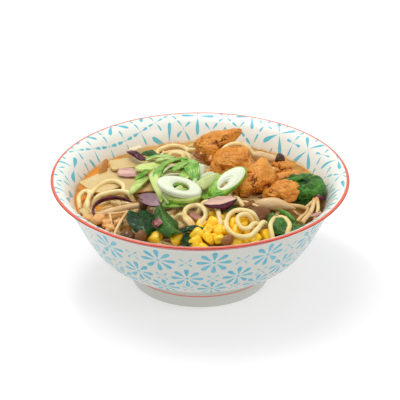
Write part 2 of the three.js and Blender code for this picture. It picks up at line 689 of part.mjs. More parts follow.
function laySpringOnion() {
  lay('spring_onion_dark_strip', sheet({ length: 24, width: 9, thickness: 2, taper: 0.5, bend: 20, curl: 50,
    steps: [6, 2] }), { at: [-15, -29], yaw: 12, roll: 20, lift: 2 });
  lay('spring_onion_end', sheet({ length: 12, width: 12, thickness: 2, taper: 0.5, bend: 14, curl: 40,
    steps: [4, 2] }), { at: [5, -15], yaw: -12, lift: 1 });
  lay('spring_onion_pale_slice', sheet({ length: 23, width: 11, thickness: 3, taper: 0.6, bend: 20, curl: 30,
    steps: [6, 2] }), { at: [-35, 21], yaw: 10, lift: 4 });
  lay('spring_onion_strip_1', sheet({ length: 32, width: 7, thickness: 2.2, taper: 0.6, bend: 26, curl: 50,
    steps: [6, 2] }), { at: [-42, -2], yaw: 64, lift: 3 });
  lay('spring_onion_tip', sheet({ length: 12, width: 7, thickness: 1.8, taper: 0.8, curl: 50,
    steps: [5, 2] }),
    { at: [-26, 42], yaw: 84, pitch: 20 });
  lay('spring_onion_strip_2', sheet({ length: 48, width: 8, thickness: 2.4, taper: 0.3, bend: 60, curl: 20,
    steps: [8, 2] }), { at: [-32, -6], yaw: -80, roll: 30, lift: 2 });
  lay('spring_onion_loop', sheet({ length: 38, width: 19, thickness: 2.6, taper: 0.2, bend: 120, curl: 20,
    steps: [9, 2] }), { at: [-18, 7], yaw: 12, roll: 10 });
  lay('spring_onion_white_end', stalk({ profile: [[0, 3.2], [1, 3.6], [8, 3.6], [9, 3.2]], sides: 10 }),
    { at: [0, 12], yaw: 80, pitch: 40, lift: 1 });
  lay('spring_onion_underslice', ringSlice({ length: 28, width: 15, height: 4, hole: 0.4, slant: 1 }),
    { at: [-13, -26], yaw: -14, roll: 8, lift: 3.4 });
  lay('spring_onion_white_ring', ringSlice({ length: 33, width: 19, height: 5.5, hole: 0.34, slant: 2 }),
    { at: [-14, -24], yaw: -24, roll: 18, lift: 6.8 });
  lay('spring_onion_crescent_1', sheet({ length: 22, width: 7, thickness: 2.6, taper: 0.5, bend: 84,
    steps: [6, 1] }), { at: [0, -1], yaw: 55, roll: 230, lift: 3 });
  lay('spring_onion_crescent_2', sheet({ length: 26, width: 7, thickness: 2.6, taper: 0.5, bend: 84,
    steps: [6, 1] }), { at: [4, -6], yaw: 55, roll: 230, lift: 3 });
  lay('spring_onion_oval_slice', ringSlice({ length: 33, width: 14, height: 4.5, hole: 0.3, slant: 2 }),
    { at: [19, -14], yaw: 38, pitch: 18, roll: 26, lift: 4 });
  lay('spring_onion_curled_strip', sheet({ length: 36, width: 11, thickness: 2, taper: 0.6, bend: 80,
    curl: 40, twist: 30, steps: [7, 2] }), { at: [-7, 10], yaw: -74, lift: 6 });
  lay('red_onion_petal', sheet({ length: 20, width: 11, thickness: 2.4, taper: 0.85, bend: 20, curl: 40,
    steps: [5, 2] }), { at: [-35, -29], yaw: -44, roll: 20, lift: 4.2 });
}

// ---------------------------------------------------------------- noodles and sprouts over the heap
const NOODLES = [
  { route: [[-78, -27], [-78, -12], [-73, 2], [-66, 9], [-59, 8], [-54, 0], [-54, -10]] },
  { route: [[-84, -16], [-85, -8], [-82, -2], [-78, -3], [-78, -14], [-81, -20]] },
  { route: [[-76, -16], [-68, -10], [-56, -8], [-46, -14]] },
  { route: [[-32, 57], [-30, 69], [-22, 77], [-13, 75], [-7, 64]] },
  { route: [[-30, 51], [-25, 61], [-16, 64], [-9, 57], [-7, 47]] },
  { route: [[-25, 47], [-19, 52], [-12, 50], [-14, 42]] },
  { route: [[-8, 82], [-2, 77], [3, 67]] },
  { route: [[-11, 66], [-4, 62], [2, 69], [4, 78]] },
  { route: [[-4, -60], [-10, -50], [-10, -38], [-4, -33], [2, -37], [4, -46], [-1, -56]] },
  { route: [[-18, -40], [-12, -44], [-7, -52], [-3, -60]] },
  { route: [[-2, -36], [5, -34], [11, -40], [13, -50], [14, -61]], climb: 9 },
  { route: [[41, -46], [32, -42], [24, -43], [19, -50], [18, -61], [22, -70], [28, -73], [34, -71], [39, -63],
    [43, -54], [48, -50]], climb: 8 },
  { route: [[38, -50], [32, -47], [26, -50], [26, -57], [29, -64], [33, -64], [36, -59], [42, -53]],
    climb: 9 },
  { route: [[45, -65], [47, -53], [51, -40], [53, -33]], climb: 8 },
  { route: [[48, -46], [54, -42], [60, -47], [61, -56], [56, -66]], climb: 9 },
  { route: [[22, -18], [26, -23], [29, -31], [34, -30]] },
];
// the noodle that lies behind the large chunks, off the heap: its points are its own heights too
const NOODLE_ON_CHICKEN = [[14, 39, 79], [19, 43, 82], [27, 45, 83], [35, 44, 81], [42, 40, 75]];
const SPROUTS = [
  [[-69, -35], [-60, -38], [-50, -37]],
  [[-50, -38], [-54, -47], [-59, -60]],
  [[-63, -34], [-61, -46], [-60, -57]],
  [[52, -25], [60, -27], [68, -26], [76, -21]],
  [[78, -19], [74, -29], [68, -45]],
  [[81, -20], [78, -32], [72, -42]],
  [[83, -17], [82, -27], [78, -38]],
];

/** The heap: its core with the noodles and sprouts that show, all grown together. */
function noodleHeap() {
  let heap = solidOf(heapCore());
  const strandMap = newMap();
  const addStrand = (route, radius, step, sides, climb) => {
    const maps = [{ map: toppingMap, gap: 1.6 * GAP }, { map: strandMap, gap: -0.5 }];
    const points = strandOver(route, radius, step, maps, climb);
    const geometry = closed(strand(points, radius, sides));
    stamp(strandMap, geometry);
    heap = heap.add(cutClear(solidOf(geometry), geometry));
  };
  for (const { route, climb = NOODLE_CLIMB } of NOODLES) {
    addStrand(route, NOODLE_RADIUS, NOODLE_STEP, 5, climb);
  }
  for (const route of SPROUTS) {
    addStrand(route, SPROUT_RADIUS, SPROUT_STEP, 4, NOODLE_CLIMB);
  }
  return geometryOf(largestBody(heap.simplify(SIMPLER)));
}

function layNoodleOnChicken() {
  const path = new THREE.CatmullRomCurve3(NOODLE_ON_CHICKEN.map((p) => new THREE.Vector3(...p)));
  record('noodle_on_chicken', fitted(closed(strand(path.getSpacedPoints(7), NOODLE_RADIUS, 5))).geometry);
}

// ---------------------------------------------------------------- materials and assembly
const finish = (color, roughness) => new THREE.MeshStandardMaterial({ color, roughness, metalness: 0 });
const MATERIALS = {
  glazed_bowl: finish('#eceae2', 0.2),
  broth: finish('#b9792f', 0.15),
  noodles: finish('#e6cf98', 0.45),
  chicken: finish('#c47a2c', 0.5),
  spring_onion: finish('#a8cf4e', 0.35),
  spinach: finish('#1f4a22', 0.35),
  mushroom: finish('#a07a52', 0.5),
  red_onion: finish('#8a4058', 0.35),
  bamboo: finish('#d8c48a', 0.4),
  corn: finish('#f2c325', 0.3),
};
const MATERIAL_OF = [
  ['noodle', 'noodles'], ['chicken', 'chicken'], ['spring', 'spring_onion'], ['spinach', 'spinach'],
  ['mushroom', 'mushroom'], ['red_onion', 'red_onion'], ['bamboo', 'bamboo'], ['peel', 'bamboo'],
  ['corn', 'corn'],
];

layBamboo();
laySpinach();
layRedOnion();
layMushrooms();
layCorn();
layChicken();
laySpringOnion();
layNoodleOnChicken();

const ramen = new THREE.Group();

/** Adds one named piece to the group. */
function add(name, geometry, material) {
  const mesh = new THREE.Mesh(geometry, MATERIALS[material]);
  mesh.name = name;
  ramen.add(mesh);
}

add('bowl', closed(bowl()), 'glazed_bowl');
add('broth', geometryOf(solidOf(broth()).subtract(swollenCore)), 'broth');
add('noodle_heap', noodleHeap(), 'noodles');
for (const { name, geometry } of laid) {
  const material = MATERIAL_OF.find(([start]) => name.startsWith(start))[1];
  add(name, geometry, material);
}

export default ramen;
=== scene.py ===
# %% [markdown]
# # A bowl of tantanmen ramen
#
# This lesson dresses a bowl of noodle soup: a glazed bowl with a blue print, cloudy broth, noodles and
# toppings. The construction model says where every piece is and how large it is. Here each gets its fine
# surface and its finish, in the same frame: metres, Z up, the middle of the foot at the origin, the front
# towards -Y. Shapes are worked out in millimetres, and turned into metres when a mesh is made.

# %% Load the construction model
import collections
import itertools
import math

import bpy
import numpy as np
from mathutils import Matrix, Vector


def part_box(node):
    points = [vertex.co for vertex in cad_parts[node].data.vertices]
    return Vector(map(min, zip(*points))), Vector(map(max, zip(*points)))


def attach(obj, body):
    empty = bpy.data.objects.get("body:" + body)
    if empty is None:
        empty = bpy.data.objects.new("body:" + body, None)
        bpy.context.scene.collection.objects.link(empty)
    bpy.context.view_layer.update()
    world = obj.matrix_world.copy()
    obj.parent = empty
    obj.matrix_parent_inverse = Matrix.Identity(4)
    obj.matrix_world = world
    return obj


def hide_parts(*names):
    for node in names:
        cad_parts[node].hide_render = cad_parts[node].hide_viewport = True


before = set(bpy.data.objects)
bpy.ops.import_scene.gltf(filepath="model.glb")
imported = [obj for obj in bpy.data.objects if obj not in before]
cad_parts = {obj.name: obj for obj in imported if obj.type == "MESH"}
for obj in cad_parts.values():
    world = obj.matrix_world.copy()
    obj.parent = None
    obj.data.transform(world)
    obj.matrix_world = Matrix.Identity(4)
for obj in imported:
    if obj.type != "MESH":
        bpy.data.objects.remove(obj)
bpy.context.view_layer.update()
MM = 0.001
PER_METRE = 1000

# %% [markdown]
# ## The camera, the floor and the light
#
# The bowl is seen from in front and a little above, from far away with a long lens, so its rim is almost
# a true ellipse. Floor and surroundings are white. A bright world or lamps could each light it alone.
# Both are used: the world gives the even light of a white tent, a large lamp above gives every form a
# soft side, a small one behind it gives the wet highlights, and a third lifts the bowl's front.

# %% The camera
# distances in metres, the lens and the sensor in millimetres
CAMERA_DISTANCE = 1.6
CAMERA_ELEVATION = math.radians(27.70)
CAMERA_AIM_HEIGHT = 0.05916
CAMERA_LENS = 203.7
SENSOR_WIDTH = 36

camera_data = bpy.data.cameras.new("camera")
camera_data.lens = CAMERA_LENS
camera_data.sensor_width = SENSOR_WIDTH
camera = bpy.data.objects.new("camera", camera_data)
camera.location = (
    0.0,
    -CAMERA_DISTANCE * math.cos(CAMERA_ELEVATION),
    CAMERA_AIM_HEIGHT + CAMERA_DISTANCE * math.sin(CAMERA_ELEVATION),
)
camera.rotation_euler = (math.radians(90) - CAMERA_ELEVATION, 0, 0)
bpy.context.scene.collection.objects.link(camera)
bpy.context.scene.camera = camera
bpy.context.scene.view_settings.view_transform = "Standard"
print("camera at", tuple(round(x, 3) for x in camera.location))


# %% The lamps and the white surroundings
# per lamp: its place and its width in metres, and its power in watts
LAMPS = {
    "key_lamp": ((-0.25, 0.15, 1.2), 0.7, 5.6),
    "spark_lamp": ((-0.3, 0.42, 1.05), 0.14, 1.4),
    "fill_lamp": ((0.7, -0.7, 0.9), 0.3, 1.4),
}
LAMP_AIM = (0, 0, 0.05)
WORLD_STRENGTH = 0.7


def lamp(name, place, size, power):
    """A square area lamp, turned towards the food by a yaw about Z and a pitch from straight down."""
    data = bpy.data.lights.new(name, "AREA")
    data.size = size
    data.energy = power
    thing = bpy.data.objects.new(name, data)
    thing.location = place
    direction = np.array(LAMP_AIM, float) - np.array(place, float)
    yaw = math.atan2(direction[0], -direction[1])
    pitch = math.atan2(math.hypot(direction[0], direction[1]), -direction[2])
    thing.rotation_euler = (pitch, 0, yaw + math.pi)
    bpy.context.scene.collection.objects.link(thing)


for name, settings in LAMPS.items():
    lamp(name, *settings)

world = bpy.data.worlds.new("white_surroundings")
bpy.context.scene.world = world
world.use_nodes = True
world.node_tree.nodes["Background"].inputs["Color"].default_value = (1, 1, 1, 1)
world.node_tree.nodes["Background"].inputs["Strength"].default_value = WORLD_STRENGTH
print(len(LAMPS), "lamps and the surroundings made")

# %% [markdown]
# ## Paint: shader maths written as sums
#
# A shader is a net of nodes. Wired by hand, one petal of the bowl's print would take a page of links.
# Instead, a small class wraps a socket and overloads the sums, so that 1 - mask is a node too. Another
# holds a material, and makes the noise, mixtures and bumps that the finishes need.


# %% A socket that can be added and multiplied
def math_node(operation, swapped=False):
    """A method that adds a Math node with this operation on a wire and, if there is one, a second value."""

    def method(self, *other):
        values = (*other, self) if swapped else (self, *other)
        node = self.paint.node("ShaderNodeMath", {"operation": operation}, *values)
        return Wire(self.paint, node.outputs[0])

    return method


class Wire:
    """An output socket: sums on it add Math nodes to its material."""

    __add__ = __radd__ = math_node("ADD")
    __mul__ = __rmul__ = math_node("MULTIPLY")
    __sub__, __rsub__ = math_node("SUBTRACT"), math_node("SUBTRACT", swapped=True)
    __truediv__, __pow__, __abs__ = math_node("DIVIDE"), math_node("POWER"), math_node("ABSOLUTE")
    root, sine, cosine = math_node("SQRT"), math_node("SINE"), math_node("COSINE")
    most, least = math_node("MAXIMUM"), math_node("MINIMUM")
    nearest = math_node("ROUND")  # the nearest whole number
    angle_with = math_node("ARCTAN2")  # the angle whose tangent is this value over the other

    def __init__(self, paint, socket):
        self.paint = paint
        self.socket = socket

    def above(self, low, high):
        """0 where the value is under low, 1 over high, and a smooth step between them."""
        node = self.paint.node(
            "ShaderNodeMapRange", {"interpolation_type": "SMOOTHSTEP"}, self, low, high, 0.0, 1.0
        )
        return Wire(self.paint, node.outputs[0])

    def below(self, low, high):
        """1 where the value is under low, 0 over high."""
        return 1 - self.above(low, high)


# %% A material being painted
def rgb(red, green, blue):
    """A colour given as 0 to 255 on a screen, as the linear colour that a shader takes."""
    screen = np.array([red, green, blue]) / 255
    linear = np.where(screen <= 0.04045, screen / 12.92, ((screen + 0.055) / 1.055) ** 2.4)
    return (*linear.tolist(), 1.0)


# which sockets of a colour Mix node hold its two colours and its result
FIRST_COLOUR, SECOND_COLOUR, MIXED_COLOUR = 6, 7, 2


class Paint:
    """A material and the nodes that are added to it."""

    def __init__(self, name):
        self.material = bpy.data.materials.new(name)
        self.material.use_nodes = True
        self.tree = self.material.node_tree
        self.shader = self.tree.nodes["Principled BSDF"]

    def node(self, kind, settings, *values, **named):
        """Adds a node: first its settings, then its sockets' values or links, in order or by name."""
        node = self.tree.nodes.new(kind)
        for key, value in settings.items():
            setattr(node, key, value)
        for socket, value in zip(node.inputs, values):
            self.put(socket, value)
        for key, value in named.items():
            self.put(node.inputs[key.replace("_", " ")], value)
        return node

    def put(self, socket, value):
        """Links a wire to a socket, or sets the socket to a constant."""
        if isinstance(value, Wire):
            self.tree.links.new(value.socket, socket)
        else:
            socket.default_value = value

    def finish(self, **sockets):
        """Sets the shader's own sockets, as links or as constants."""
        for name, value in sockets.items():
            self.put(self.shader.inputs[name.replace("_", " ")], value)
        return self.material

    def place(self):
        """The point's place in the frame, in millimetres, as three wires."""
        coordinates = Wire(self, self.node("ShaderNodeTexCoord", {}).outputs["Object"])
        scaled = self.node("ShaderNodeVectorMath", {"operation": "SCALE"}, coordinates, Scale=PER_METRE)
        parts = self.node("ShaderNodeSeparateXYZ", {}, Wire(self, scaled.outputs[0]))
        return [Wire(self, parts.outputs[k]) for k in range(3)]

    def along_and_around(self):
        """The piece's own two coordinates: along it, and around it, each from 0 to 1."""
        node = self.node("ShaderNodeUVMap", {"uv_map": "UVMap"})
        parts = self.node("ShaderNodeSeparateXYZ", {}, Wire(self, node.outputs[0]))
        return Wire(self, parts.outputs[0]), Wire(self, parts.outputs[1])

    def stored(self, name):
        """A number that the mesh carries at each vertex."""
        node = self.node("ShaderNodeAttribute", {"attribute_name": name})
        return Wire(self, node.outputs["Fac"])

    def mapped(self, shift, scale):
        """The point's place in the frame, scaled and then shifted, as the vector of a texture."""
        coordinates = Wire(self, self.node("ShaderNodeTexCoord", {}).outputs["Object"])
        node = self.node("ShaderNodeMapping", {}, coordinates, Location=shift, Scale=scale)
        return Wire(self, node.outputs[0])

    def clouds(self, size, detail=3.0, stretch=(1, 1, 1), shift=0.0):
        """Cloudy noise from 0 to 1 whose lumps are about size millimetres across."""
        scale = tuple(s * PER_METRE / size for s in stretch)
        vector = self.mapped((shift, 1.3 * shift, 0.7 * shift), scale)
        noise = self.node("ShaderNodeTexNoise", {}, Vector=vector, Scale=1.0, Detail=detail, Roughness=0.55)
        return Wire(self, noise.outputs["Fac"])

    def cells(self, size, feature="F1", shift=0.0):
        """How far the nearest of many scattered points is, or the edge between two, in cell sizes."""
        vector = self.mapped((shift,) * 3, (PER_METRE / size,) * 3)
        settings = {"feature": feature}
        voronoi = self.node("ShaderNodeTexVoronoi", settings, Vector=vector, Scale=1.0, Randomness=1.0)
        return Wire(self, voronoi.outputs["Distance"])

    def mix(self, share, first, second):
        """The first colour where share is 0, the second where it is 1."""
        node = self.node("ShaderNodeMix", {"data_type": "RGBA"}, share)
        self.put(node.inputs[FIRST_COLOUR], first)
        self.put(node.inputs[SECOND_COLOUR], second)
        return Wire(self, node.outputs[MIXED_COLOUR])

    def bump(self, height, depth):
        """A normal that follows a height from 0 to 1, depth millimetres deep."""
        node = self.node("ShaderNodeBump", {}, Height=height, Distance=depth * MM, Strength=1.0)
        return Wire(self, node.outputs["Normal"])


print("paint ready")

# %% The floor
# in metres: its width, how far it lies under the foot, and how much it glows, so that it stays white
FLOOR_SIZE = 3.0
FLOOR_DROP = 0.0002
FLOOR_GLOW = 0.42


def plain_floor():
    """A flat white square under the bowl, a little below the foot so that they do not share a face."""
    half = FLOOR_SIZE / 2
    corners = [(x, y, -FLOOR_DROP) for x, y in ((-half, -half), (half, -half), (half, half), (-half, half))]
    mesh = bpy.data.meshes.new("floor")
    mesh.from_pydata(corners, [], [(0, 1, 2, 3)])
    floor = bpy.data.objects.new("floor", mesh)
    bpy.context.scene.collection.objects.link(floor)
    paint = Paint("floor_white")
    tone = paint.mix(paint.clouds(40.0), (0.63, 0.63, 0.63, 1), (0.65, 0.65, 0.65, 1))
    mesh.materials.append(paint.finish(
        Base_Color=tone, Roughness=0.9, Emission_Color=(1, 1, 1, 1), Emission_Strength=FLOOR_GLOW))


plain_floor()
print("floor made,", FLOOR_SIZE, "m wide")

# %% [markdown]
# ## From numbers to meshes
#
# A piece is a surface: a function of two parameters, worked out for a whole grid at once. The grid is
# then welded: vertices in the same place, as along a seam or at a pole, become one, and faces that shrink
# to a line go. Every vertex may carry further numbers for its paint.


# %% Welding a grid into a closed skin
WELD = 1e-4  # millimetres
# points in millimetres; faces, each as the numbers of its four points, the fourth -1 in a triangle; two
# coordinates per corner of a face; and numbers stored at the points
Skin = collections.namedtuple("Skin", "points faces corners stored")


def facing_out(points, quads, corners):
    """The same faces, each turned round if they face inwards.

    The volume enclosed is the sum of the tetrahedra between the origin and each triangle. If it is
    negative, the faces point inwards.
    """
    a, b, c = (points[quads[:, k]] for k in range(3))
    three = quads[:, 3] < 0
    d = np.where(three[:, None], a, points[quads[:, 3]])
    volume = np.einsum("ij,ij->", a, np.cross(b, c)) + np.einsum("ij,ij->", a, np.cross(c, d))
    if volume >= 0:
        return quads, corners
    turned = np.where(three[:, None], np.array([2, 1, 0, 3]), np.array([3, 2, 1, 0]))
    return np.take_along_axis(quads, turned, 1), np.take_along_axis(corners, turned[..., None], 1)


def welded(grid, **stored):
    """Joins the points of a grid that lie within WELD of each other, and turns the faces outwards.

    A quad with two equal corners becomes a triangle, its doubled corner last, and one with fewer goes.
    """
    rows, columns = grid.shape[:2]
    points = grid.reshape(-1, 3)
    number = np.arange(rows * columns).reshape(rows, columns)
    quads = np.stack([number[:-1, :-1], number[1:, :-1], number[1:, 1:], number[:-1, 1:]], -1)
    quads = quads.reshape(-1, 4)
    along, around = np.meshgrid(np.linspace(0, 1, rows), np.linspace(0, 1, columns), indexing="ij")
    flat = np.stack([along, around], -1).reshape(-1, 2)
    corners = flat[quads]
    rounded = np.round(points / WELD).astype(np.int64)
    _, first, joined = np.unique(rounded, axis=0, return_index=True, return_inverse=True)
    quads = joined.reshape(-1)[quads]
    same = quads == np.roll(quads, -1, axis=1)
    kept = same.sum(1) < 2
    quads, corners, same = quads[kept], corners[kept], same[kept]
    order = np.tile(np.arange(4), (len(quads), 1))
    doubled = same.any(1)
    start = (np.argmax(same, axis=1) + 1) % 4
    order[doubled] = (start[doubled, None] + np.arange(4)) % 4
    quads = np.take_along_axis(quads, order, 1)
    corners = np.take_along_axis(corners, order[..., None], 1)
    quads[doubled, 3] = -1
    points = points[first]
    quads, corners = facing_out(points, quads, corners)
    numbers = {}
    for key, value in stored.items():
        numbers[key] = np.broadcast_to(value, (rows, columns)).reshape(-1)[first]
    return Skin(points, quads, corners, numbers)


def closed(grid):
    """Makes each end row of a grid one point, and its last column its first one."""
    grid[0], grid[-1] = grid[0].mean(0), grid[-1].mean(0)
    grid[:, -1] = grid[:, 0]
    return grid


def together(skins):
    """Several skins as one."""
    starts = np.cumsum([0] + [len(s.points) for s in skins[:-1]])
    faces = [np.where(s.faces >= 0, s.faces + start, -1) for s, start in zip(skins, starts)]
    stored = {key: np.concatenate([s.stored[key] for s in skins]) for key in skins[0].stored}
    return Skin(np.concatenate([s.points for s in skins]), np.concatenate(faces),
                np.concatenate([s.corners for s in skins]), stored)


print("points closer than", WELD, "mm become one")


# %% A piece of the object from a skin
def piece(name, skin, material, slot, *nodes):
    """Makes a smooth mesh of a skin, rides it on the object's one body and lets it stand for its nodes."""
    mesh = bpy.data.meshes.new(name)
    used = skin.faces >= 0
    loops = skin.faces[used]
    counts = used.sum(1)
    mesh.vertices.add(len(skin.points))
    mesh.vertices.foreach_set("co", (skin.points * MM).astype(np.float32).ravel())
    mesh.loops.add(len(loops))
    mesh.loops.foreach_set("vertex_index", loops.astype(np.int32))
    mesh.polygons.add(len(counts))
    mesh.polygons.foreach_set("loop_start", (np.cumsum(counts) - counts).astype(np.int32))
    mesh.polygons.foreach_set("use_smooth", np.ones(len(counts), bool))
    layer = mesh.uv_layers.new(name="UVMap")
    mesh.update(calc_edges=True)
    layer.uv.foreach_set("vector", skin.corners[used].astype(np.float32).ravel())
    for key, value in skin.stored.items():
        attribute = mesh.attributes.new(key, "FLOAT", "POINT")
        attribute.data.foreach_set("value", value.astype(np.float32))
    mesh.materials.append(material)
    mesh.validate()
    thing = bpy.data.objects.new(name, mesh)
    bpy.context.scene.collection.objects.link(thing)
    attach(thing, "root")
    if nodes:
        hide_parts(*nodes)
    return thing


# %% [markdown]
# ## Smooth lines and unevenness
#
# A curve through a few given points gives the bowl's profile and the noodles' routes. Nothing in a
# bowl of soup is regular, so two kinds of unevenness follow: a few long sine waves, the same as the
# construction model uses for its lumps, and a crumpled noise for skins and crusts.


# %% Curves through points
def distance_along(line):
    """How far along a line each of its points lies: the sum of the steps before it."""
    steps = np.linalg.norm(np.diff(line, axis=0), axis=1)
    return np.concatenate([[0], np.cumsum(steps)])


def direction_along(line):
    """The unit tangent at each point of a line, from the points before and after it."""
    along = np.gradient(line, axis=0)
    return along / np.linalg.norm(along, axis=1)[:, None]


def smooth_line(points, count):
    """A smooth curve through points: a cubic between each two, whose slopes come from their neighbours."""
    points = np.asarray(points, float)
    place = np.linspace(0, len(points) - 1, count)
    i = np.minimum(place.astype(int), len(points) - 2)
    w = (place - i)[:, None]
    before, start, end = points[np.maximum(i - 1, 0)], points[i], points[i + 1]
    after = points[np.minimum(i + 2, len(points) - 1)]
    slope_in, slope_out = (end - before) / 2, (after - start) / 2
    cubic = (2 * start - 2 * end + slope_in + slope_out) * w**3
    square = (-3 * start + 3 * end - 2 * slope_in - slope_out) * w**2
    return cubic + square + slope_in * w + start


def spaced(line, step):
    """The same line with its points a step apart."""
    travelled = distance_along(line)
    at = np.linspace(0, travelled[-1], max(2, round(travelled[-1] / step) + 1))
    return np.stack([np.interp(at, travelled, line[:, k]) for k in range(line.shape[1])], -1)


def smooth_step(t):
    """0 up to t = 0, 1 from t = 1 on, and 3 t^2 - 2 t^3 between."""
    t = np.clip(t, 0, 1)
    return t * t * (3 - 2 * t)


print("lines ready")


# %% Long waves and crumpled noise
def picked(seed):
    """A repeatable number between 0 and 1 for each seed: the broken part of a large sine."""
    value = np.sin(seed * 12.9898 + 4.1414) * 43758.5453
    return value - np.floor(value)


def waves(x, y, z, seed):
    """Five sine waves in directions that the seed picks, each shorter and lower than the last."""
    total = 0
    for k in range(5):
        dx, dy, dz = (2 * picked(seed + 11 * k + i) - 1 for i in range(3))
        phase = 2 * math.pi * picked(seed + 11 * k + 3)
        total = total + np.sin((dx * x + dy * y + dz * z) * (1 + 0.5 * k) + phase) / (1 + 0.4 * k)
    return total / 2


def lattice_noise(points, seed):
    """Random numbers from -1 to 1 at the corners of a unit lattice, blended smoothly in each cell."""
    cell = np.floor(points).astype(np.int64)
    t = points - cell
    t = t * t * t * (t * (6 * t - 15) + 10)
    total = 0
    for corner in itertools.product((0, 1), repeat=3):
        at = cell + np.array(corner)
        mixed = at[..., 0] * 73856093 ^ at[..., 1] * 19349663 ^ at[..., 2] * 83492791  # large primes
        mixed = mixed ^ (seed * 40503 + 977)
        mixed = (mixed ^ (mixed >> 13)) * 1274126177
        value = ((mixed ^ (mixed >> 16)) & 0xFFFF) / 0xFFFF
        weight = np.prod(np.where(np.array(corner) == 1, t, 1 - t), axis=-1)
        total = total + weight * value
    return 2 * total - 1


def crumpled(points, size, seed, octaves=4, folded=False):
    """Noise in ever finer octaves, each half as high; folded turns every slope's zero into a sharp crease."""
    total = 0
    for k in range(octaves):
        layer = lattice_noise(points * 2**k / size, seed + k)
        total = total + (1 - 2 * np.abs(layer) if folded else layer) / 2**k
    return total / 1.6


print("noise ready")

# %% [markdown]
# ## The bowl
#
# The bowl is turned: a wall of even thickness on a foot ring, its rim flaring a little. It could be spun
# from a curve, or cut from a solid. Here one profile, with the construction model's named sizes, is
# carried round the axis with numpy, because each vertex can then keep how far up the outside it lies, for
# the print, and how far from the lip's crest, for the red band wiped round the lip.

# %% The bowl's sizes
# all in millimetres; a point of the profile is a radius and a height
RIM_RADIUS, BOWL_HEIGHT = 105, 78
WALL, LIP = 4, 1.9
FOOT_RADIUS, FOOT_WIDTH = 49.3, 5
FOOT_CREASE, FOOT_BULGE = (50.5, 12.3), (50.9, 9.6)
UNDERSIDE_HEIGHT, FLOOR_HEIGHT = 8, 14.5
OUTER_WALL = [(56, 16), (69.9, 24), (77.1, 32), (83.2, 42), (88.2, 52), (93.2, 62), (98.5, 72)]
BROTH_LEVEL = 60.5


def outer_wall(count):
    """The outside from the foot's crease to the lip, as points of radius and height."""
    return smooth_line([FOOT_CREASE, *OUTER_WALL, (RIM_RADIUS - 1, BOWL_HEIGHT - 1.6)], count)


def inner_wall(count):
    """The inside: every outer point moved inwards, square to the wall, by the wall's thickness."""
    outside = outer_wall(count)
    slope = direction_along(outside)
    share = np.linspace(0, 1, count)
    thick = WALL + (LIP - WALL) * smooth_step((share - 0.75) / 0.25)
    inside = outside + thick[:, None] * np.stack([-slope[:, 1], slope[:, 0]], -1)
    inside[:, 1] = np.minimum(inside[:, 1], BOWL_HEIGHT - 0.6)
    return inside[inside[:, 1] > FLOOR_HEIGHT + 1.5]


print("bowl", 2 * RIM_RADIUS, "mm across and", BOWL_HEIGHT, "mm high")


# %% The bowl's profile
def lip_line(outside_end, inside_start):
    """The rounded lip: from the outer wall's end out to the rim, over its crest, down to the inner wall."""
    over = [(0, 0.75), (0.4, 0.15), (1.0, 0), (1.7, 0.15)]  # how far inside the rim and under the top
    crest = [(RIM_RADIUS - inwards, BOWL_HEIGHT - down) for inwards, down in over]
    return smooth_line([outside_end, *crest, inside_start], 14)[1:-1]


def foot_line():
    """The foot ring: down its inner side, under it, up its outer side and over the bulge to the crease."""
    inner = FOOT_RADIUS - FOOT_WIDTH
    return smooth_line([
        (inner - 2.4, UNDERSIDE_HEIGHT - 0.3), (inner - 1.2, 4), (inner + 0.3, 0.5), (inner + 1.2, 0),
        (FOOT_RADIUS - 1.2, 0), (FOOT_RADIUS, 0.7), (FOOT_RADIUS + 0.9, 5), FOOT_BULGE, FOOT_CREASE], 41)


# %% The profile carried round the axis
def lathe(profile, sides):
    """A profile of radii r and heights z, carried round: r sin(turn), -r cos(turn), z."""
    turn = np.linspace(0, 2 * math.pi, sides + 1)
    radius, height = profile[:, :1], np.repeat(profile[:, 1:], sides + 1, 1)
    grid = np.stack([radius * np.sin(turn), -radius * np.cos(turn), height], -1)
    grid[:, -1] = grid[:, 0]
    return grid


def bowl_skin():
    """From the underside's middle, round the foot, up the outside, over the lip and down the inside."""
    outside = outer_wall(70)
    inside = inner_wall(70)[::-1]
    lip = lip_line(outside[-1], inside[0])
    foot = foot_line()
    under = np.stack([np.linspace(0, foot[0, 0] - 0.8, 8), np.full(8, UNDERSIDE_HEIGHT)], -1)
    floor = smooth_line([inside[-1], (0.62 * FOOT_RADIUS, FLOOR_HEIGHT + 0.6), (0, FLOOR_HEIGHT)], 20)
    profile = np.concatenate([under, foot, outside[1:], lip, inside, floor[1:]])
    travelled = distance_along(profile)[:, None]
    crease = len(under) + len(foot) - 1
    crest = crease + len(outside) - 1 + len(lip) // 2 + 1
    return welded(lathe(profile, 240), climb=travelled - travelled[crease], lip=travelled - travelled[crest])


bowl_form = bowl_skin()
print("bowl's skin:", len(bowl_form.points), "points")


# %% [markdown]
# ### The print
#
# The blue print is a stamp of a few motifs. Outside, three rows of daisies with eight petals stand round
# the bowl, each half a step on from the last, with small crosses between them. Inside, a slanted lattice
# carries four-petal flowers and, along its lines, chains of short dashes. It could be painted into an
# image. Worked out from the point's place, it is smaller and stays sharp: rounding finds the nearest
# motif's middle, and a petal is a drop shape in the distance along and across it.

# %% Drop-shaped petals and stamped ink
INK = rgb(92, 178, 197)
INK_DEEP = rgb(52, 158, 184)
INK_INSIDE = rgb(70, 190, 212)
GLAZE = rgb(245, 247, 240)
GLAZE_SHADE = rgb(238, 238, 227)
# the outside and the foot are painted darker grey than the inside: painted shade
OUTER_GLAZE_PAINTED_SHADE = rgb(201, 202, 194)
RIM_RED = rgb(178, 28, 8)
# salmon on the lip's crest: a painted highlight over the red band
RIM_SALMON_PAINTED_HIGHLIGHT = rgb(230, 104, 76)
FOOT_RED = rgb(222, 104, 84)
OIL_AT_WALL = rgb(240, 178, 48)
OIL_DROP = rgb(246, 196, 64)
OIL_HAZE = rgb(246, 216, 140)


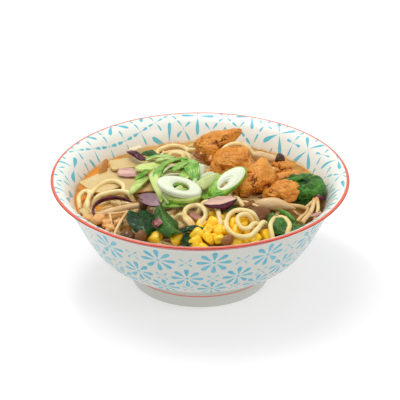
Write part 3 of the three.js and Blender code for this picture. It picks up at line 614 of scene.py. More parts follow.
def petal(along, across, start, end, width):
    """1 inside a drop that is pointed at start and round at end, and 0 outside.

    Its half width is width times the square root of t^2 (1 - t^4), with t from 0 to 1 along it.
    """
    t = (along - start) / (end - start)
    inside = (t * t * (1 - t.most(0) ** 4)).most(0).root()
    return (inside * width - abs(across)).above(-0.03 * width, 0.06 * width)


def turned_by(x, y, angle):
    """Two coordinates, or two axes, after a turn by an angle in radians."""
    cosine, sine = np.cos(angle), np.sin(angle)
    return x * cosine + y * sine, y * cosine - x * sine


print("ink:", [round(share, 2) for share in INK[:3]])

# %% The daisies on the outer wall
DAISIES = 15
# per row: its height up the wall, the wall's radius there, and its turn in degrees
ROWS = [(64.7, 91.8, 6.0), (45.8, 83.4, -6.0), (31.6, 76.2, 6.0)]
DAISY_SHARE = 0.132  # a daisy's radius, as a share of the wall's


def daisy_print(x, y, climb):
    """Three rows of eight-petal daisies, each with a dot in its middle, and the crosses between them."""
    step = 2 * math.pi / DAISIES
    angle = x.angle_with(-1 * y)
    parts = []
    for height, radius, turn in ROWS:
        place = (angle - math.radians(turn)) / step
        sideways = (place - place.nearest()) * (step * radius)
        upwards = climb - height
        size = DAISY_SHARE * radius
        for k in range(4):
            p, q = turned_by(sideways, upwards, math.pi * k / 4)
            parts.append(petal(abs(p), q, 0.16 * size, size, 0.245 * size))
        middle = (sideways * sideways + upwards * upwards).root()
        parts.append(middle.below(0.07 * size, 0.11 * size))
        half = place + 0.5
        beside = (half - half.nearest()) * (step * radius)
        for k in range(2):
            p, q = turned_by(beside, upwards, math.pi * (k + 0.5) / 2)
            parts.append(petal(abs(p), q, 0.10 * size, 0.50 * size, 0.095 * size))
    ink = parts[0]
    for part in parts[1:]:
        ink = ink.most(part)
    return ink


print("daisies:", DAISIES * len(ROWS))

# %% The lattice inside
# the two lattice counts at a point x, y in decimetres, as shares of x, y, x^2, x y, y^2 and 1
LATTICE_M = (4.219, -4.711, -0.537, 0.414, -0.751, 2.575)
LATTICE_N = (5.201, 4.79, 0.88, -0.037, 0.564, -6.302)
# a flower's petal and a dash: where along it they start and end, and how wide they are
FLOWER_PETAL, DASH = (0.08, 1.19, 0.205), (0.07, 0.45, 0.085)


def lattice_count(shares, x, y):
    """A slanted lattice's count, a sum of shares of x and y, with slight bends where the print was laid."""
    terms = (x, y, x * x, x * y, y * y)
    return sum(term * share for term, share in zip(terms, shares)) + shares[-1]


def lattice_print(x, y):
    """Four-petal flowers where both counts are odd, and dashes along the lattice's lines elsewhere."""
    x, y = x * 0.01, y * 0.01
    m, n = lattice_count(LATTICE_M, x, y), lattice_count(LATTICE_N, x, y)
    flower_m, flower_n = (m - 1) / 2, (n - 1) / 2
    p, q = (flower_m - flower_m.nearest()) * 2, (flower_n - flower_n.nearest()) * 2
    east, north = p + q, q - p
    ink = petal(abs(east), north, *FLOWER_PETAL).most(petal(abs(north), east, *FLOWER_PETAL))
    at_flower = (abs(east) + abs(north)).below(0.98, 1.02)
    near_m, near_n = m - m.nearest(), n - n.nearest()
    chain = petal(abs(near_m), near_n, *DASH).most(petal(abs(near_n), near_m, *DASH))
    return ink.most(chain * (1 - at_flower))


print("lattice counts in the middle:", LATTICE_M[-1], LATTICE_N[-1])

# %% [markdown]
# ### The glaze
#
# The glaze is white and glossy over the print, and darker grey outside as painted shade. A red band was
# wiped round the lip, wider at the front, with a salmon painted highlight along its crest, and a thin red
# line runs round the foot. Where soup has splashed, orange oil clings to the wall. Each could be a piece
# of its own, but they have no thickness, so they are masks in one paint: each is 1 where the mark is, and
# mixes its colour over what lies below it.


# %% Red bands and oil over the glaze
def with_red_bands(paint, clay, lip, climb, z, front, smear):
    """The band over the lip, from red outside to a salmon painted highlight on the crest, and the line round
    the foot.
    """
    wobble = (smear - 0.5) * 0.7
    band = (lip + wobble + front * 2.2).above(-6.4, -6.0) * (lip + wobble - front * 1.7).below(0.6, 1.0)
    # the crest turns salmon: painted highlight
    red = paint.mix((lip + wobble).above(-1.1, 0.1), RIM_RED, RIM_SALMON_PAINTED_HIGHLIGHT)
    clay = paint.mix(band, clay, red)
    line = abs(z - 9.7 + wobble * 0.3).below(0.35, 0.6) * climb.below(0.5, 1.0) * climb.above(-6.0, -5.0)
    return paint.mix(line * 0.85, clay, FOOT_RED)


def with_oil(paint, clay, inside, height, worn):
    """The oil that clings to the wall over the broth: a broken line, drops above it and a faint haze."""
    soaked = height.below(0.4, 1.6 + 2.5 * paint.clouds(16.0, 2.0, shift=8.0)) * worn.above(0.3, 0.55)
    clay = paint.mix(soaked * inside * 0.8, clay, OIL_AT_WALL)
    spots = paint.cells(2.3, shift=2.0).below(0.17, 0.24)
    drops = spots * paint.clouds(22.0, 1.0, shift=5.0).above(0.44, 0.54) * inside * height.below(3.0, 11.0)
    clay = paint.mix(drops * 0.75, clay, OIL_DROP)
    return paint.mix(inside * height.below(0.0, 9.0) * 0.05, clay, OIL_HAZE)


# %% The glaze with its print
def bowl_material():
    """White glaze, painted darker grey outside as painted shade, with blue print outside and inside, red
    bands, and oil over the broth.
    """
    paint = Paint("printed_glaze")
    x, y, z = paint.place()
    climb, lip = paint.stored("climb"), paint.stored("lip")
    front = y.below(-90.0, 50.0)
    outside, inside = lip.below(-3.0, -2.8), (lip - front * 1.7).above(0.8, 1.0)
    smear = paint.clouds(5.0, 2.0)
    worn = paint.clouds(9.0, 3.0, shift=3.0)
    ink = daisy_print(x, y, climb) * outside * climb.above(2.0, 3.0)
    ink = ink.most(lattice_print(x, y) * inside)
    ink = ink * (0.84 + 0.22 * worn) * (0.92 + 0.16 * smear)
    blue = paint.mix(inside, paint.mix(smear.above(0.35, 0.7), INK, INK_DEEP), INK_INSIDE)
    # painted shade: the outer glaze is a darker grey than the white inside
    clay = paint.mix(inside, OUTER_GLAZE_PAINTED_SHADE, paint.mix(paint.clouds(30.0, 2.0), GLAZE, GLAZE_SHADE))
    clay = paint.mix(ink.least(0.93), clay, blue)
    clay = with_red_bands(paint, clay, lip, climb, z, front, smear)
    clay = with_oil(paint, clay, inside, z - BROTH_LEVEL, worn)
    return paint.finish(
        Base_Color=clay, Roughness=0.2 + 0.1 * smear, Specular_IOR_Level=0.35, Coat_Weight=0.15,
        Coat_Roughness=0.1, Normal=paint.bump(paint.clouds(14.0, 2.0, shift=1.0), 0.12))


bowl = piece("ceramic_bowl", bowl_form, bowl_material(), "bowl_glaze", "bowl")
print("bowl:", len(bowl.data.polygons), "faces")

# %% [markdown]
# ## The broth
#
# The soup is cloudy, so light hardly goes through it. It could be a volume, which is slow to render. A
# closed body with a glossy top looks the same. Where it meets the wall it climbs a little. Chilli oil
# floats on it in patches, most of all at the left edge.


# %% The soup's body
def broth_skin():
    """The inside of the bowl up to the level: a lathe whose top rises by half a millimetre at the wall."""
    wall = inner_wall(70)
    below = wall[wall[:, 1] < BROTH_LEVEL - 0.2]
    edge = np.interp(BROTH_LEVEL, wall[:, 1], wall[:, 0])
    radius = edge * np.sqrt(np.linspace(0, 1, 60))
    top = BROTH_LEVEL + 0.5 * np.exp(-(edge - radius) / 1.2)
    surface = np.stack([radius, top], -1)
    bottom = np.array([[0.62 * FOOT_RADIUS, FLOOR_HEIGHT + 0.7], [0, FLOOR_HEIGHT + 0.1]])
    profile = np.concatenate([surface, below[::-1] + np.array([0.05, 0.0]), bottom])
    grid = lathe(profile, 160)
    on_top = (np.arange(len(profile)) < len(surface) - 1)[:, None]
    ripple = 0.22 * crumpled(grid, 9.0, 5, 3) * on_top
    grid[..., 2] += ripple * (np.hypot(grid[..., 0], grid[..., 1]) > 1)
    return welded(grid)


def soup_material(name):
    """Cloudy yellow-brown soup under a thin film of orange oil that gathers into patches and rings, painted
    darker at the right and at the front as painted shade between the toppings.
    """
    paint = Paint(name)
    x, y, _ = paint.place()
    cloud = paint.clouds(13.0, 4.0)
    fine = paint.clouds(4.0, 3.0, shift=4.0)
    milk = paint.mix(cloud.above(0.3, 0.7), rgb(158, 108, 46), rgb(206, 160, 86))
    left = (-1 * x).above(48, 84)
    radius = (x * x + y * y).root()
    edge = radius.above(77, 87)
    oil = (paint.clouds(8.0, 4.0, shift=7.0) + 0.2 * left + 0.1 * edge).above(0.58, 0.72)
    milk = paint.mix(oil * 0.85, milk, rgb(240, 146, 26))
    rings = paint.cells(5.0, shift=1.0).below(0.26, 0.32) * fine.above(0.45, 0.6)
    milk = paint.mix(rings * 0.5, milk, rgb(236, 158, 52))
    # painted shade: the soup is darker brown at the right and at the front, where it lies between the
    # toppings
    dark = x.above(0, 55) * y.below(-10, 30) * 0.6 + y.below(-60, -30) * 0.3
    milk = paint.mix(dark.least(0.7), milk, rgb(86, 58, 28))
    return paint.finish(
        Base_Color=milk, Roughness=0.12 + 0.12 * fine, Specular_IOR_Level=0.3, IOR=1.34,
        Normal=paint.bump(paint.clouds(5.0, 3.0, shift=9.0), 0.35))


broth_body = piece("broth_body", broth_skin(), soup_material("cloudy_broth"), "broth", "broth")
print("broth:", len(broth_body.data.polygons), "faces")

# %% [markdown]
# ## Six forms for all of the food
#
# Leaves, petals, slices and slabs are sheets: a middle surface that is curled, bent and crumpled, with a
# skin laid on both sides of it. Thin strips are ribbons along a route. Fried chunks are spheres pulled
# towards boxes and then broken up. Slices of a hollow stalk are rings with a blunt cross-section.
# Mushrooms are turned. Corn grains are blunt wedges. Each could be sculpted, but one formula makes many
# that all differ. The construction model has already settled them, so each form is turned the same way,
# put over the same place and lowered until its top is level with its node's top.


# %% Turning a form and settling it in its node's place
def turned(grid, yaw=0, pitch=0, roll=0):
    """Rolls a form about X, lifts its +X end by pitch and turns it about Z, all in degrees."""
    roll, pitch, yaw = (math.radians(angle) for angle in (roll, pitch, yaw))
    cosine, sine = math.cos, math.sin
    about_x = np.array([[1, 0, 0], [0, cosine(roll), -sine(roll)], [0, sine(roll), cosine(roll)]])
    about_y = np.array([[cosine(pitch), 0, -sine(pitch)], [0, 1, 0], [sine(pitch), 0, cosine(pitch)]])
    about_z = np.array([[cosine(yaw), -sine(yaw), 0], [sine(yaw), cosine(yaw), 0], [0, 0, 1]])
    return grid @ (about_z @ about_y @ about_x).T


def spot(x, y, yaw=0, pitch=0, roll=0):
    """A form's place seen from above, in millimetres, and its turns in degrees."""
    return dict(at=(x, y), yaw=yaw, pitch=pitch, roll=roll)


def settled(node, grid, at, **turns):
    """A form turned, over its place, and as high as its node."""
    grid = turned(grid, **turns)
    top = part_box(node)[1][2] / MM
    return grid + np.array([at[0], at[1], top - grid[..., 2].max()])


def laid(node, kind, grid, place, material, slot, **stored):
    """Settles a form in its node's place, as the piece of this kind that stands for that node."""
    piece(f"{node}_{kind}", welded(settled(node, grid, **place), **stored), material, slot, node)


def bent(grid, length, angle):
    """Bends a form along X into an arc with its ends down: X becomes an angle, Z adds to the radius."""
    if angle == 0:
        return grid
    radius = length / math.radians(angle)
    turn = grid[..., 0] / radius
    out = radius + grid[..., 2]
    return np.stack([out * np.sin(turn), grid[..., 1], out * np.cos(turn) - radius], -1)


def crossed(first, second):
    """Unit normals from two fields of tangents."""
    normal = np.cross(first, second)
    return normal / np.maximum(np.linalg.norm(normal, axis=-1, keepdims=True), 1e-9)


# %% Leaves, strips and slabs
def sheet(size, taper=0, curl=0, bend=0, ripple=0, twist=0, seed=1, crumple=0, crease=6.0, ragged=0,
          corner=8, edge=6, relief=0, rows=72, columns=72):
    """A thin form and how far across it (-1 to 1) and on which face (-1 to 1) each point lies.

    The size is its length, width and thickness. In the middle surface, the width narrows towards both ends
    by taper and its corners are rounded as (1 - |2u - 1|^corner)^0.5. Across, it curls into an arc; along,
    it bends, in degrees both. Two ripples run along its edges, and noise of size crease dents it by
    crumple. The skin stands off by half the thickness times (1 - |v|^edge)^0.5.
    """
    length, width, thickness = size
    u = (1 - np.cos(math.pi * np.linspace(0, 1, rows)))[:, None] / 2
    t = 2 * math.pi * np.linspace(0, 1, columns)[None]
    v, face = np.cos(t), np.sin(t)
    curl_angle = math.radians(curl)

    def middle(u, v):
        """The middle surface at u along and v across."""
        u, v = np.broadcast_arrays(u, v)
        narrow = 1 - taper * (1 - np.sin(math.pi * (0.06 + 0.88 * np.clip(u, 0, 1))) ** 0.7)
        narrow = narrow * (1 + ragged * waves(11 * u, 3 * np.sign(v), 0 * u, seed + 50))
        half = 0.5 * width * narrow * np.sqrt(np.clip(1 - np.abs(2 * u - 1) ** corner, 1e-5, 1))
        flat = np.stack([u * length, v * half, 0 * u], -1)
        wave = ripple * np.sin(4 * math.pi * u + 6.3 * picked(seed)) * v * np.abs(v)
        wave = wave + crumple * crumpled(flat, crease, seed, 3)
        y, z = v * half, wave
        if curl_angle:
            radius = 2 * half / curl_angle
            y = (radius - wave) * np.sin(v * curl_angle / 2)
            z = radius - (radius - wave) * np.cos(v * curl_angle / 2)
        turn = math.radians(twist) * (u - 0.5)
        y, z = y * np.cos(turn) - z * np.sin(turn), y * np.sin(turn) + z * np.cos(turn)
        return bent(np.stack([(u - 0.5) * length, y, z], -1), length, bend)

    step = 0.004
    inner_u, inner_v = np.clip(u, 0.03, 0.97), v * 0.97
    normal = crossed(middle(inner_u + step, inner_v) - middle(inner_u - step, inner_v),
                     middle(inner_u, inner_v + step) - middle(inner_u, inner_v - step))
    end = np.sqrt(np.clip(1 - np.abs(2 * u - 1) ** (2.5 * corner), 0, 1))
    side = np.sign(np.round(face, 6)) * np.sqrt(np.clip(1 - np.abs(v) ** edge, 0, 1))
    surface = middle(u, v)
    lumps = 1 + relief * crumpled(surface + 40 * np.sign(side)[..., None], 3.0, seed + 7, 2)
    surface = closed(surface + (0.5 * thickness * end * side * lumps)[..., None] * normal)
    v, face = (np.broadcast_to(value, surface.shape[:2]) for value in (v, face))
    return surface, v, face


print("a sheet has", sheet((20, 10, 1.5))[0].shape[:2], "points along and around it")



# %% Ribbons along a route
def ribbon(route, width, thickness, lean=0, cup=0, taper=0.7, seed=0, rows=80, columns=32):
    """A flat strip along a route, with how far across it and on which face each point lies.

    At each point of the line its width lies square to the line, turned about it by lean, and narrows to
    the ends as (1 - |2u - 1|^4)^taper. The strip cups by cup times v squared, and its skin stands off by
    half the thickness times (1 - v^6)^0.5.
    """
    line = smooth_line(route, 300)
    travelled = distance_along(line)
    u = (1 - np.cos(math.pi * np.linspace(0, 1, rows))) / 2
    line = np.stack([np.interp(u * travelled[-1], travelled, line[:, k]) for k in range(3)], -1)
    along = direction_along(line)
    side = crossed(along, np.array([0.0, 0.0, 1.0]) + 0 * along)
    over = np.cross(side, along)
    turn = np.radians(np.interp(u, np.linspace(0, 1, np.size(lean)), np.ravel(lean)))[:, None]
    side, over = turned_by(side, over, turn)
    t = 2 * math.pi * np.linspace(0, 1, columns)[None]
    v, face = np.broadcast_arrays(np.cos(t), np.sin(t) + 0 * u[:, None])
    ends = np.clip(1 - np.abs(2 * u - 1) ** 4, 0, 1)[:, None] ** taper
    half = 0.5 * width * ends * (1 + 0.08 * waves(9 * u[:, None], 2 * np.sign(v), 0, seed))
    lift = cup * v * v * ends + 0.3 * waves(8 * u[:, None], 2 * v, 0, seed + 9)
    skin = 0.5 * thickness * np.sign(np.round(face, 6)) * np.sqrt(np.clip(1 - v ** 6, 0, 1)) * ends ** 0.5
    grid = line[:, None] + (v * half)[..., None] * side[:, None] + (lift + skin)[..., None] * over[:, None]
    return closed(grid), v, face


# %% Directions over a sphere
def directions(rows, columns):
    """Unit vectors over a whole sphere: sin(a) cos(b), sin(a) sin(b), cos(a), pole to pole and round."""
    polar = np.linspace(0, math.pi, rows)[:, None]
    turn = np.linspace(0, 2 * math.pi, columns)[None]
    out, up = np.sin(polar), np.cos(polar)
    grid = np.stack([out * np.cos(turn), out * np.sin(turn), up + 0 * turn], -1)
    grid[:, -1] = grid[:, 0]
    grid[0], grid[-1] = (0, 0, 1), (0, 0, -1)
    return grid


def boxed(d, power):
    """How far a box with rounded edges reaches along unit vectors: (|x|^n + |y|^n + |z|^n)^(-1/n)."""
    return (np.abs(d) ** power).sum(-1) ** (-1 / power)


def heaved(d, depth, seed):
    """A swelling along unit vectors: 1 plus long waves of this depth."""
    return 1 + depth * waves(2.6 * d[..., 0], 2.6 * d[..., 1], 2.6 * d[..., 2], seed)



# %% Cellular noise
def cellular(points, size, seed):
    """Distances to the nearest and the second nearest of points strewn one in each cell of a lattice."""
    points = points / size
    cell = np.floor(points).astype(np.int64)
    nearest = np.full(points.shape[:-1], 9.0)
    second = nearest.copy()
    for step in itertools.product((-1, 0, 1), repeat=3):
        at = cell + np.array(step)
        key = at[..., 0] * 157.31 + at[..., 1] * 113.97 + at[..., 2] * 271.17 + seed * 7.7
        middle = at + np.stack([picked(key * 0.013), picked(key * 0.029 + 5), picked(key * 0.017 + 9)], -1)
        distance = np.linalg.norm(points - middle, axis=-1)
        second = np.minimum(second, np.maximum(nearest, distance))
        nearest = np.minimum(nearest, distance)
    return nearest, second


# %% Fried chunks
FLAT_CUTS = 14


def chunk(size, boxy=3, relief=0.16, seed=1, crag=1.0, taper=0, rows=165, columns=256):
    """A torn, craggy lump, and how deep in a hollow each point lies (0 to 1).

    A sphere pulled towards a box, cut by FLAT_CUTS flat faces in random directions (the box's sum with the
    faces' distances and power 18) and heaved by long waves. Along each direction the surface then rises
    in ridges of folded noise. Where it is rough it also swells into nuggets, with crevices between them
    where the two nearest strewn points are equally far, and crumbs.
    """
    rng = np.random.default_rng(seed)
    d = directions(rows, columns)
    box = boxed(d, boxy)
    faces = rng.normal(size=(FLAT_CUTS, 3))
    faces /= np.linalg.norm(faces, axis=1)[:, None] * rng.uniform(0.86, 1.2, FLAT_CUTS)[:, None]
    cut = (np.clip(d @ faces.T, 0, None) ** 18).sum(-1)
    box = (box ** -18 + cut) ** (-1 / 18)
    form = d * (0.5 * box * heaved(d, relief, seed))[..., None] * np.array(size)
    narrow = 1 + taper * (0.25 - smooth_step((form[..., :1] / size[0] + 0.3) / 0.8))
    form = form * np.concatenate([1 + 0 * narrow, narrow, narrow], -1)
    rough = smooth_step(0.35 + 2.2 * crumpled(form, 8.0, seed + 5, 2))
    swayed = form + 2.2 * np.stack([crumpled(form, 4.5, seed + k, 3) for k in (50, 60, 70)], -1)
    drawn_out = np.array([0.6, 1, 1])  # the meat's fibres run along X
    near_one, near_two = cellular(swayed * drawn_out, 4.6, seed)
    small_one, small_two = cellular(swayed, 1.9, seed + 3)
    crevice = np.exp(-(near_two - near_one) / 0.13) * rough
    crack = np.exp(-(small_two - small_one) / 0.2) * rough
    ridges = crumpled(form * drawn_out, 6.0, seed + 12, 3, folded=True)
    crumbs = crumpled(form, 1.3, seed + 31, 3)
    nuggets = rough * (1.1 * (0.5 - near_one) + 0.6 * (0.5 - small_one))
    out = 1.1 * ridges + nuggets - 1.2 * crevice - 0.3 * crack
    out = crag * (out + (0.12 + 0.4 * rough) * crumbs)
    hollow = 0.85 * crevice + 0.4 * crack + 0.35 * rough * (near_one - 0.35)
    hollow = hollow - 0.45 * ridges - 0.3 * crumbs * rough
    return form + d * out[..., None], np.clip(hollow, 0, 1)


# %% Slices of a hollow stalk
def ring_slice(size, hole, slant=0, aside=0, blunt=0.62, seed=1, rows=140, columns=60):
    """An oval ring: round it a blunt section, each coordinate of a circle raised to the power blunt.

    The size is its length, width and height. The hole is a share of the length and a share of the width,
    and its middle lies aside from the ring's. Also gives the cosine and the sine round the section: 1 is
    the outer side, or the top.
    """
    length, width, height = size
    turn = np.linspace(0, 2 * math.pi, rows)[:, None]
    section = np.linspace(0, 2 * math.pi, columns)[None]
    out, up = np.cos(section), np.sin(section)
    blunt_out, blunt_up = (np.sign(a) * np.abs(a) ** blunt for a in (out, up))
    wobble = 1 + 0.05 * waves(np.cos(turn) * 1.5, np.sin(turn) * 1.5, 0, seed)
    reach = [(0.5 * (1 + share) + 0.5 * (1 - share) * blunt_out) * wobble for share in hole]
    layers = 0.08 * np.cos(22 * reach[0]) * np.clip(up, 0, 1)
    x = 0.5 * length * (reach[0] * np.cos(turn) + aside * (1 - blunt_out))
    y = 0.5 * width * reach[1] * np.sin(turn)
    z = 0.5 * height * blunt_up + slant * reach[0] * np.cos(turn) + layers
    grid = np.stack([x, y, z], -1)
    grid[-1], grid[:, -1] = grid[0], grid[:, 0]
    grid[-1, -1] = grid[0, 0]
    return grid, np.broadcast_to(out, grid.shape[:2]), np.broadcast_to(up, grid.shape[:2])


# %% Stalks and caps
def stalk(profile, bend=0, flatten=1, seed=1, relief=0.12, sides=64):
    """A turned form: radii along X, then flattened and bent, its skin a little uneven."""
    profile = np.asarray(profile, float)
    length = profile[-1, 0] - profile[0, 0]
    turn = np.linspace(0, 2 * math.pi, sides)[None]
    along = (profile[:, 0] - profile[0, 0] - length / 2)[:, None]
    radius = profile[:, 1][:, None]
    grid = np.stack([along + 0 * turn, radius * np.cos(turn), flatten * radius * np.sin(turn)], -1)
    stretch = grid * np.array([0.35, 1, 1])
    grid[..., 1:] *= (1 + relief * crumpled(stretch, 4.0, seed, 3))[..., None]
    grid[:, -1] = grid[:, 0]
    return bent(grid, length, bend)


def stem_line(length, thick):
    """A mushroom's stem: its radius at points along it."""
    outline = [(0, 0), (0.2, 0.55), (0.12 * length, 0.8), (0.3 * length, 0.95), (0.65 * length, 0.85),
               (length - 1, 0.8)]
    return smooth_line([(x, share * thick) for x, share in outline], 60)


def cap_line(start, radius):
    """A mushroom's cap: gills under it, a rolled edge and a dome."""
    outline = [(-0.6, 0.3), (-0.9, 0.6), (-1, 0.92), (0.2, 1.06), (1.6, 1.04), (3.8, 0.82), (5.2, 0.42),
               (5.6, 0)]
    return smooth_line([(start + x, share * radius) for x, share in outline], 60)


# %% Grains of corn
def grain(length, width, height, seed=1, rows=26, columns=34):
    """A blunt wedge with a dimple in its crown: a sphere pulled towards a box and narrowed at its root."""
    d = directions(rows, columns)[..., [2, 0, 1]]
    x, y, z = np.moveaxis(d * boxed(d, 3.4)[..., None], -1, 0)
    narrow = 1 - 0.34 * smooth_step((0.5 - x) / 1.5)
    dimple = 0.16 * np.exp(-(y * y + z * z) / 0.16) * (x > 0)
    grid = np.stack([0.5 * length * (x - dimple), 0.5 * width * y * narrow, 0.5 * height * z * narrow], -1)
    return grid * (1 + 0.035 * waves(2 * x, 2 * y, 2 * z, seed))[..., None]


print("forms ready")


# %% [markdown]
# ## Bamboo
#
# Slices of bamboo shoot are translucent and yellowish, with fine fibres along them and small pores. They
# are cut with a knife, so they keep crisp edges. A flat box with a bevel would do for the edges. A sheet
# with square corners can also bend and carry dents. Oil stains the slices from the rim inwards, so each
# point stores how near an edge it lies.


# %% Bamboo paint
def bamboo_material():
    """Yellow-tan flesh: fibres are noise stretched along the slab, pores are small cells."""
    paint = Paint("bamboo_flesh")
    _, v = paint.along_and_around()
    tone, oil = paint.stored("tone"), paint.stored("oil")
    fibre = paint.clouds(2.2, 3.0, stretch=(0.25, 1.0, 1.0))
    cloud = paint.clouds(11.0, 3.0, shift=2.0)
    flesh = paint.mix(tone, rgb(206, 172, 106), rgb(226, 202, 148))
    flesh = paint.mix((fibre * 0.7 + cloud * 0.3).above(0.4, 0.7), flesh, rgb(214, 184, 112))
    pores = paint.cells(1.3, shift=6.0).below(0.18, 0.3) * cloud.above(0.35, 0.6)
    flesh = paint.mix(pores * 0.3, flesh, rgb(176, 132, 68))
    stain = (oil + (cloud - 0.5) * 1.1).above(0.62, 1.0)
    flesh = paint.mix(stain * 0.8, flesh, rgb(226, 132, 34))
    flesh = paint.mix(tone.below(-0.3, -0.1) * 0.6, flesh, rgb(178, 112, 44))
    flesh = paint.mix(tone.below(-0.3, -0.1) * v.above(0.75, 0.95), flesh, rgb(90, 96, 40))
    flesh = paint.mix(tone.above(1.2, 1.4) * 0.6, flesh, rgb(250, 236, 200))
    return paint.finish(
        Base_Color=flesh, Roughness=0.2 + 0.16 * fibre, Specular_IOR_Level=0.3, Coat_Weight=0.2,
        Coat_Roughness=0.08, Subsurface_Weight=0.2, Subsurface_Radius=(0.003, 0.002, 0.001),
        Normal=paint.bump(fibre + 0.5 * pores, 0.22))


# %% The slabs
# per node: its form, its place and how pale it is, under 0 for peel
BAMBOO = {
    "bamboo_slab_1": (dict(size=(32, 26, 1.9), bend=8, curl=6), spot(-66.5, 12.5, 44), 0.75),
    "bamboo_slab_2": (dict(size=(28, 15, 1.8), bend=8), spot(-51, 35, 12), 0.6),
    "bamboo_slab_3": (dict(size=(28, 20, 1.8), bend=-10), spot(-42, 2, 8), 0.15),
    "bamboo_slab_4": (dict(size=(24, 11, 2.2), bend=12), spot(-75, -32, -66), 0.7),
    "peel_slice": (dict(size=(16, 6.5, 1.6), taper=1.0, bend=20), spot(-69, 28, 70, 30, 50), -0.4),
}
bamboo_paint = bamboo_material()
for seed, (node, (form, place, tone)) in enumerate(BAMBOO.items()):
    square = node != "peel_slice"
    grid, v, _ = sheet(seed=seed + 3, crumple=0.45, crease=11.0, relief=0.12, ragged=0.02,
                       corner=26 if square else 8, edge=18 if square else 6, rows=90, columns=110, **form)
    u = np.linspace(0, 1, len(grid))[:, None]
    oil = 0.8 * np.abs(v) ** 6 + 0.5 * np.abs(2 * u - 1) ** 8 + (0.0 if square else 0.9 * (v < 0.3))
    laid(node, "flesh", grid, place, bamboo_paint, "bamboo", tone=tone, oil=oil)

block, _ = chunk((11, 7, 9), boxy=5, relief=0.08, seed=3, crag=0.18, rows=60, columns=90)
block_place = spot(-47, 58, 20)
laid("bamboo_block", "flesh", block, block_place, bamboo_paint, "bamboo", tone=1.5, oil=0.0)
print("bamboo laid:", len(BAMBOO), "slices and a block")

# %% [markdown]
# ## Spinach
#
# Blanched spinach is dark, wet and crumpled, with a net of veins that shows where the leaf is stretched.
# Cloth simulation would crumple a leaf well, but slowly. Here a leaf is a thin sheet with strong noise in
# its middle surface, so both sides crumple together.


# %% Spinach paint
def spinach_material():
    """Dark green, lighter along a net of veins, and wet; a stored lightness paints light on it, lighter green
    on lit leaves and crests and almost black in the folds as painted shade, and gives the stalk its own pale
    colour.
    """
    paint = Paint("wilted_spinach")
    u, v = paint.along_and_around()
    # light: painted light, lighter green on lit leaves and on the clump's crests; on the stalk it is its own
    # pale colour
    light = paint.stored("light")
    cloud = paint.clouds(7.0, 3.0)
    net = paint.cells(2.1, feature="DISTANCE_TO_EDGE", shift=3.0).below(0.03, 0.12)
    fine = paint.cells(0.8, feature="DISTANCE_TO_EDGE", shift=8.0).below(0.02, 0.14)
    across = (v * (2 * math.pi)).cosine()
    rib = abs(across).below(0.05, 0.13) * u.below(0.5, 0.85)
    leaf = paint.mix(cloud.above(0.35, 0.72), rgb(2, 24, 5), rgb(14, 72, 18))
    leaf = paint.mix((light * (0.2 + cloud)).least(1.0), leaf, rgb(84, 142, 44))
    leaf = paint.mix(net * 0.35 * (0.4 + light), leaf, rgb(96, 160, 70))
    leaf = paint.mix(rib * 0.55 * light, leaf, rgb(160, 190, 96))
    height = cloud * 0.5 - net * 0.6 - fine * 0.08
    return paint.finish(
        Base_Color=leaf, Roughness=0.16 + 0.12 * cloud, Specular_IOR_Level=0.16, Coat_Weight=0.22,
        Coat_Roughness=0.04, Coat_IOR=1.3, Normal=paint.bump(height, 0.3),
    )


# %% The leaves
# what all leaves share, and per node: its form, its place and how light it is, a lighter green as painted
# light
LEAF = dict(crumple=3.4, ragged=0.1, corner=4, edge=4, rows=120, columns=120)
SPINACH = {
    "spinach_leaf_1": (
        dict(size=(25, 32, 1.5), taper=0.6, bend=34, curl=50, ripple=1.4),
        spot(-38, -48, 14, roll=180), 0.0),
    "spinach_leaf_2": (
        dict(size=(42, 17, 1.6), taper=0.75, bend=50, curl=80, ripple=1.2),
        spot(-22, -58, -72, roll=180), 0.4),
    "spinach_ribbon": (
        dict(size=(19, 7, 1.4), taper=0.6, bend=26, curl=60, ripple=0.6), spot(-5, -61, 4), 0.0),
    "spinach_leaf_3": (
        dict(size=(20, 10, 1.4), taper=0.7, bend=26, curl=50, ripple=0.8), spot(-7, -70, 70), 0.0),
    "spinach_leaf_4": (
        dict(size=(30, 22, 1.6), taper=0.7, bend=40, curl=60, ripple=1.4),
        spot(59, -52, -40, roll=180), 0.6),
    "spinach_leaf_5": (
        dict(size=(24, 17, 1.5), taper=0.7, bend=20, curl=40, ripple=1), spot(24, -32, 25), 0.1),
    "spinach_curl": (dict(size=(20, 8, 1.6), taper=0.5, bend=150, ripple=0.8), spot(-35, 45, -10, 8), 0.3),
}
spinach_paint = spinach_material()
for seed, (node, (form, place, light)) in enumerate(SPINACH.items()):
    grid = sheet(crease=12.0, seed=seed + 5, **LEAF, **form)[0]
    laid(node, "skin", grid, place, spinach_paint, "spinach", light=light)
print(len(SPINACH), "leaves laid")

# %% [markdown]
# ### The clump at the right
#
# Several leaves are pressed together here. Each could be a sheet of its own, but most of them would be
# hidden. So the clump is one lump with deep folds, a few loose leaves over it, and the pale stalk of the
# leaf beside it.

# %% A folded lump, its loose leaves and a stalk
CLUMP = "spinach_clump_right"
CLUMP_SIZE, CLUMP_PLACE = (27, 30, 15), (72, 0)
# per loose leaf: its place from the clump's middle, how far it lies under the top, its yaw and its pitch
CLUMP_LEAVES = [(-4, 5, 0.0, 10, 12), (3, -6, 2.2, 70, -18), (-6, -5, 3.0, -50, 10)]
STALK_ROUTE = [(54, -39, 72.5), (60, -46, 72.5), (65, -53, 71)]


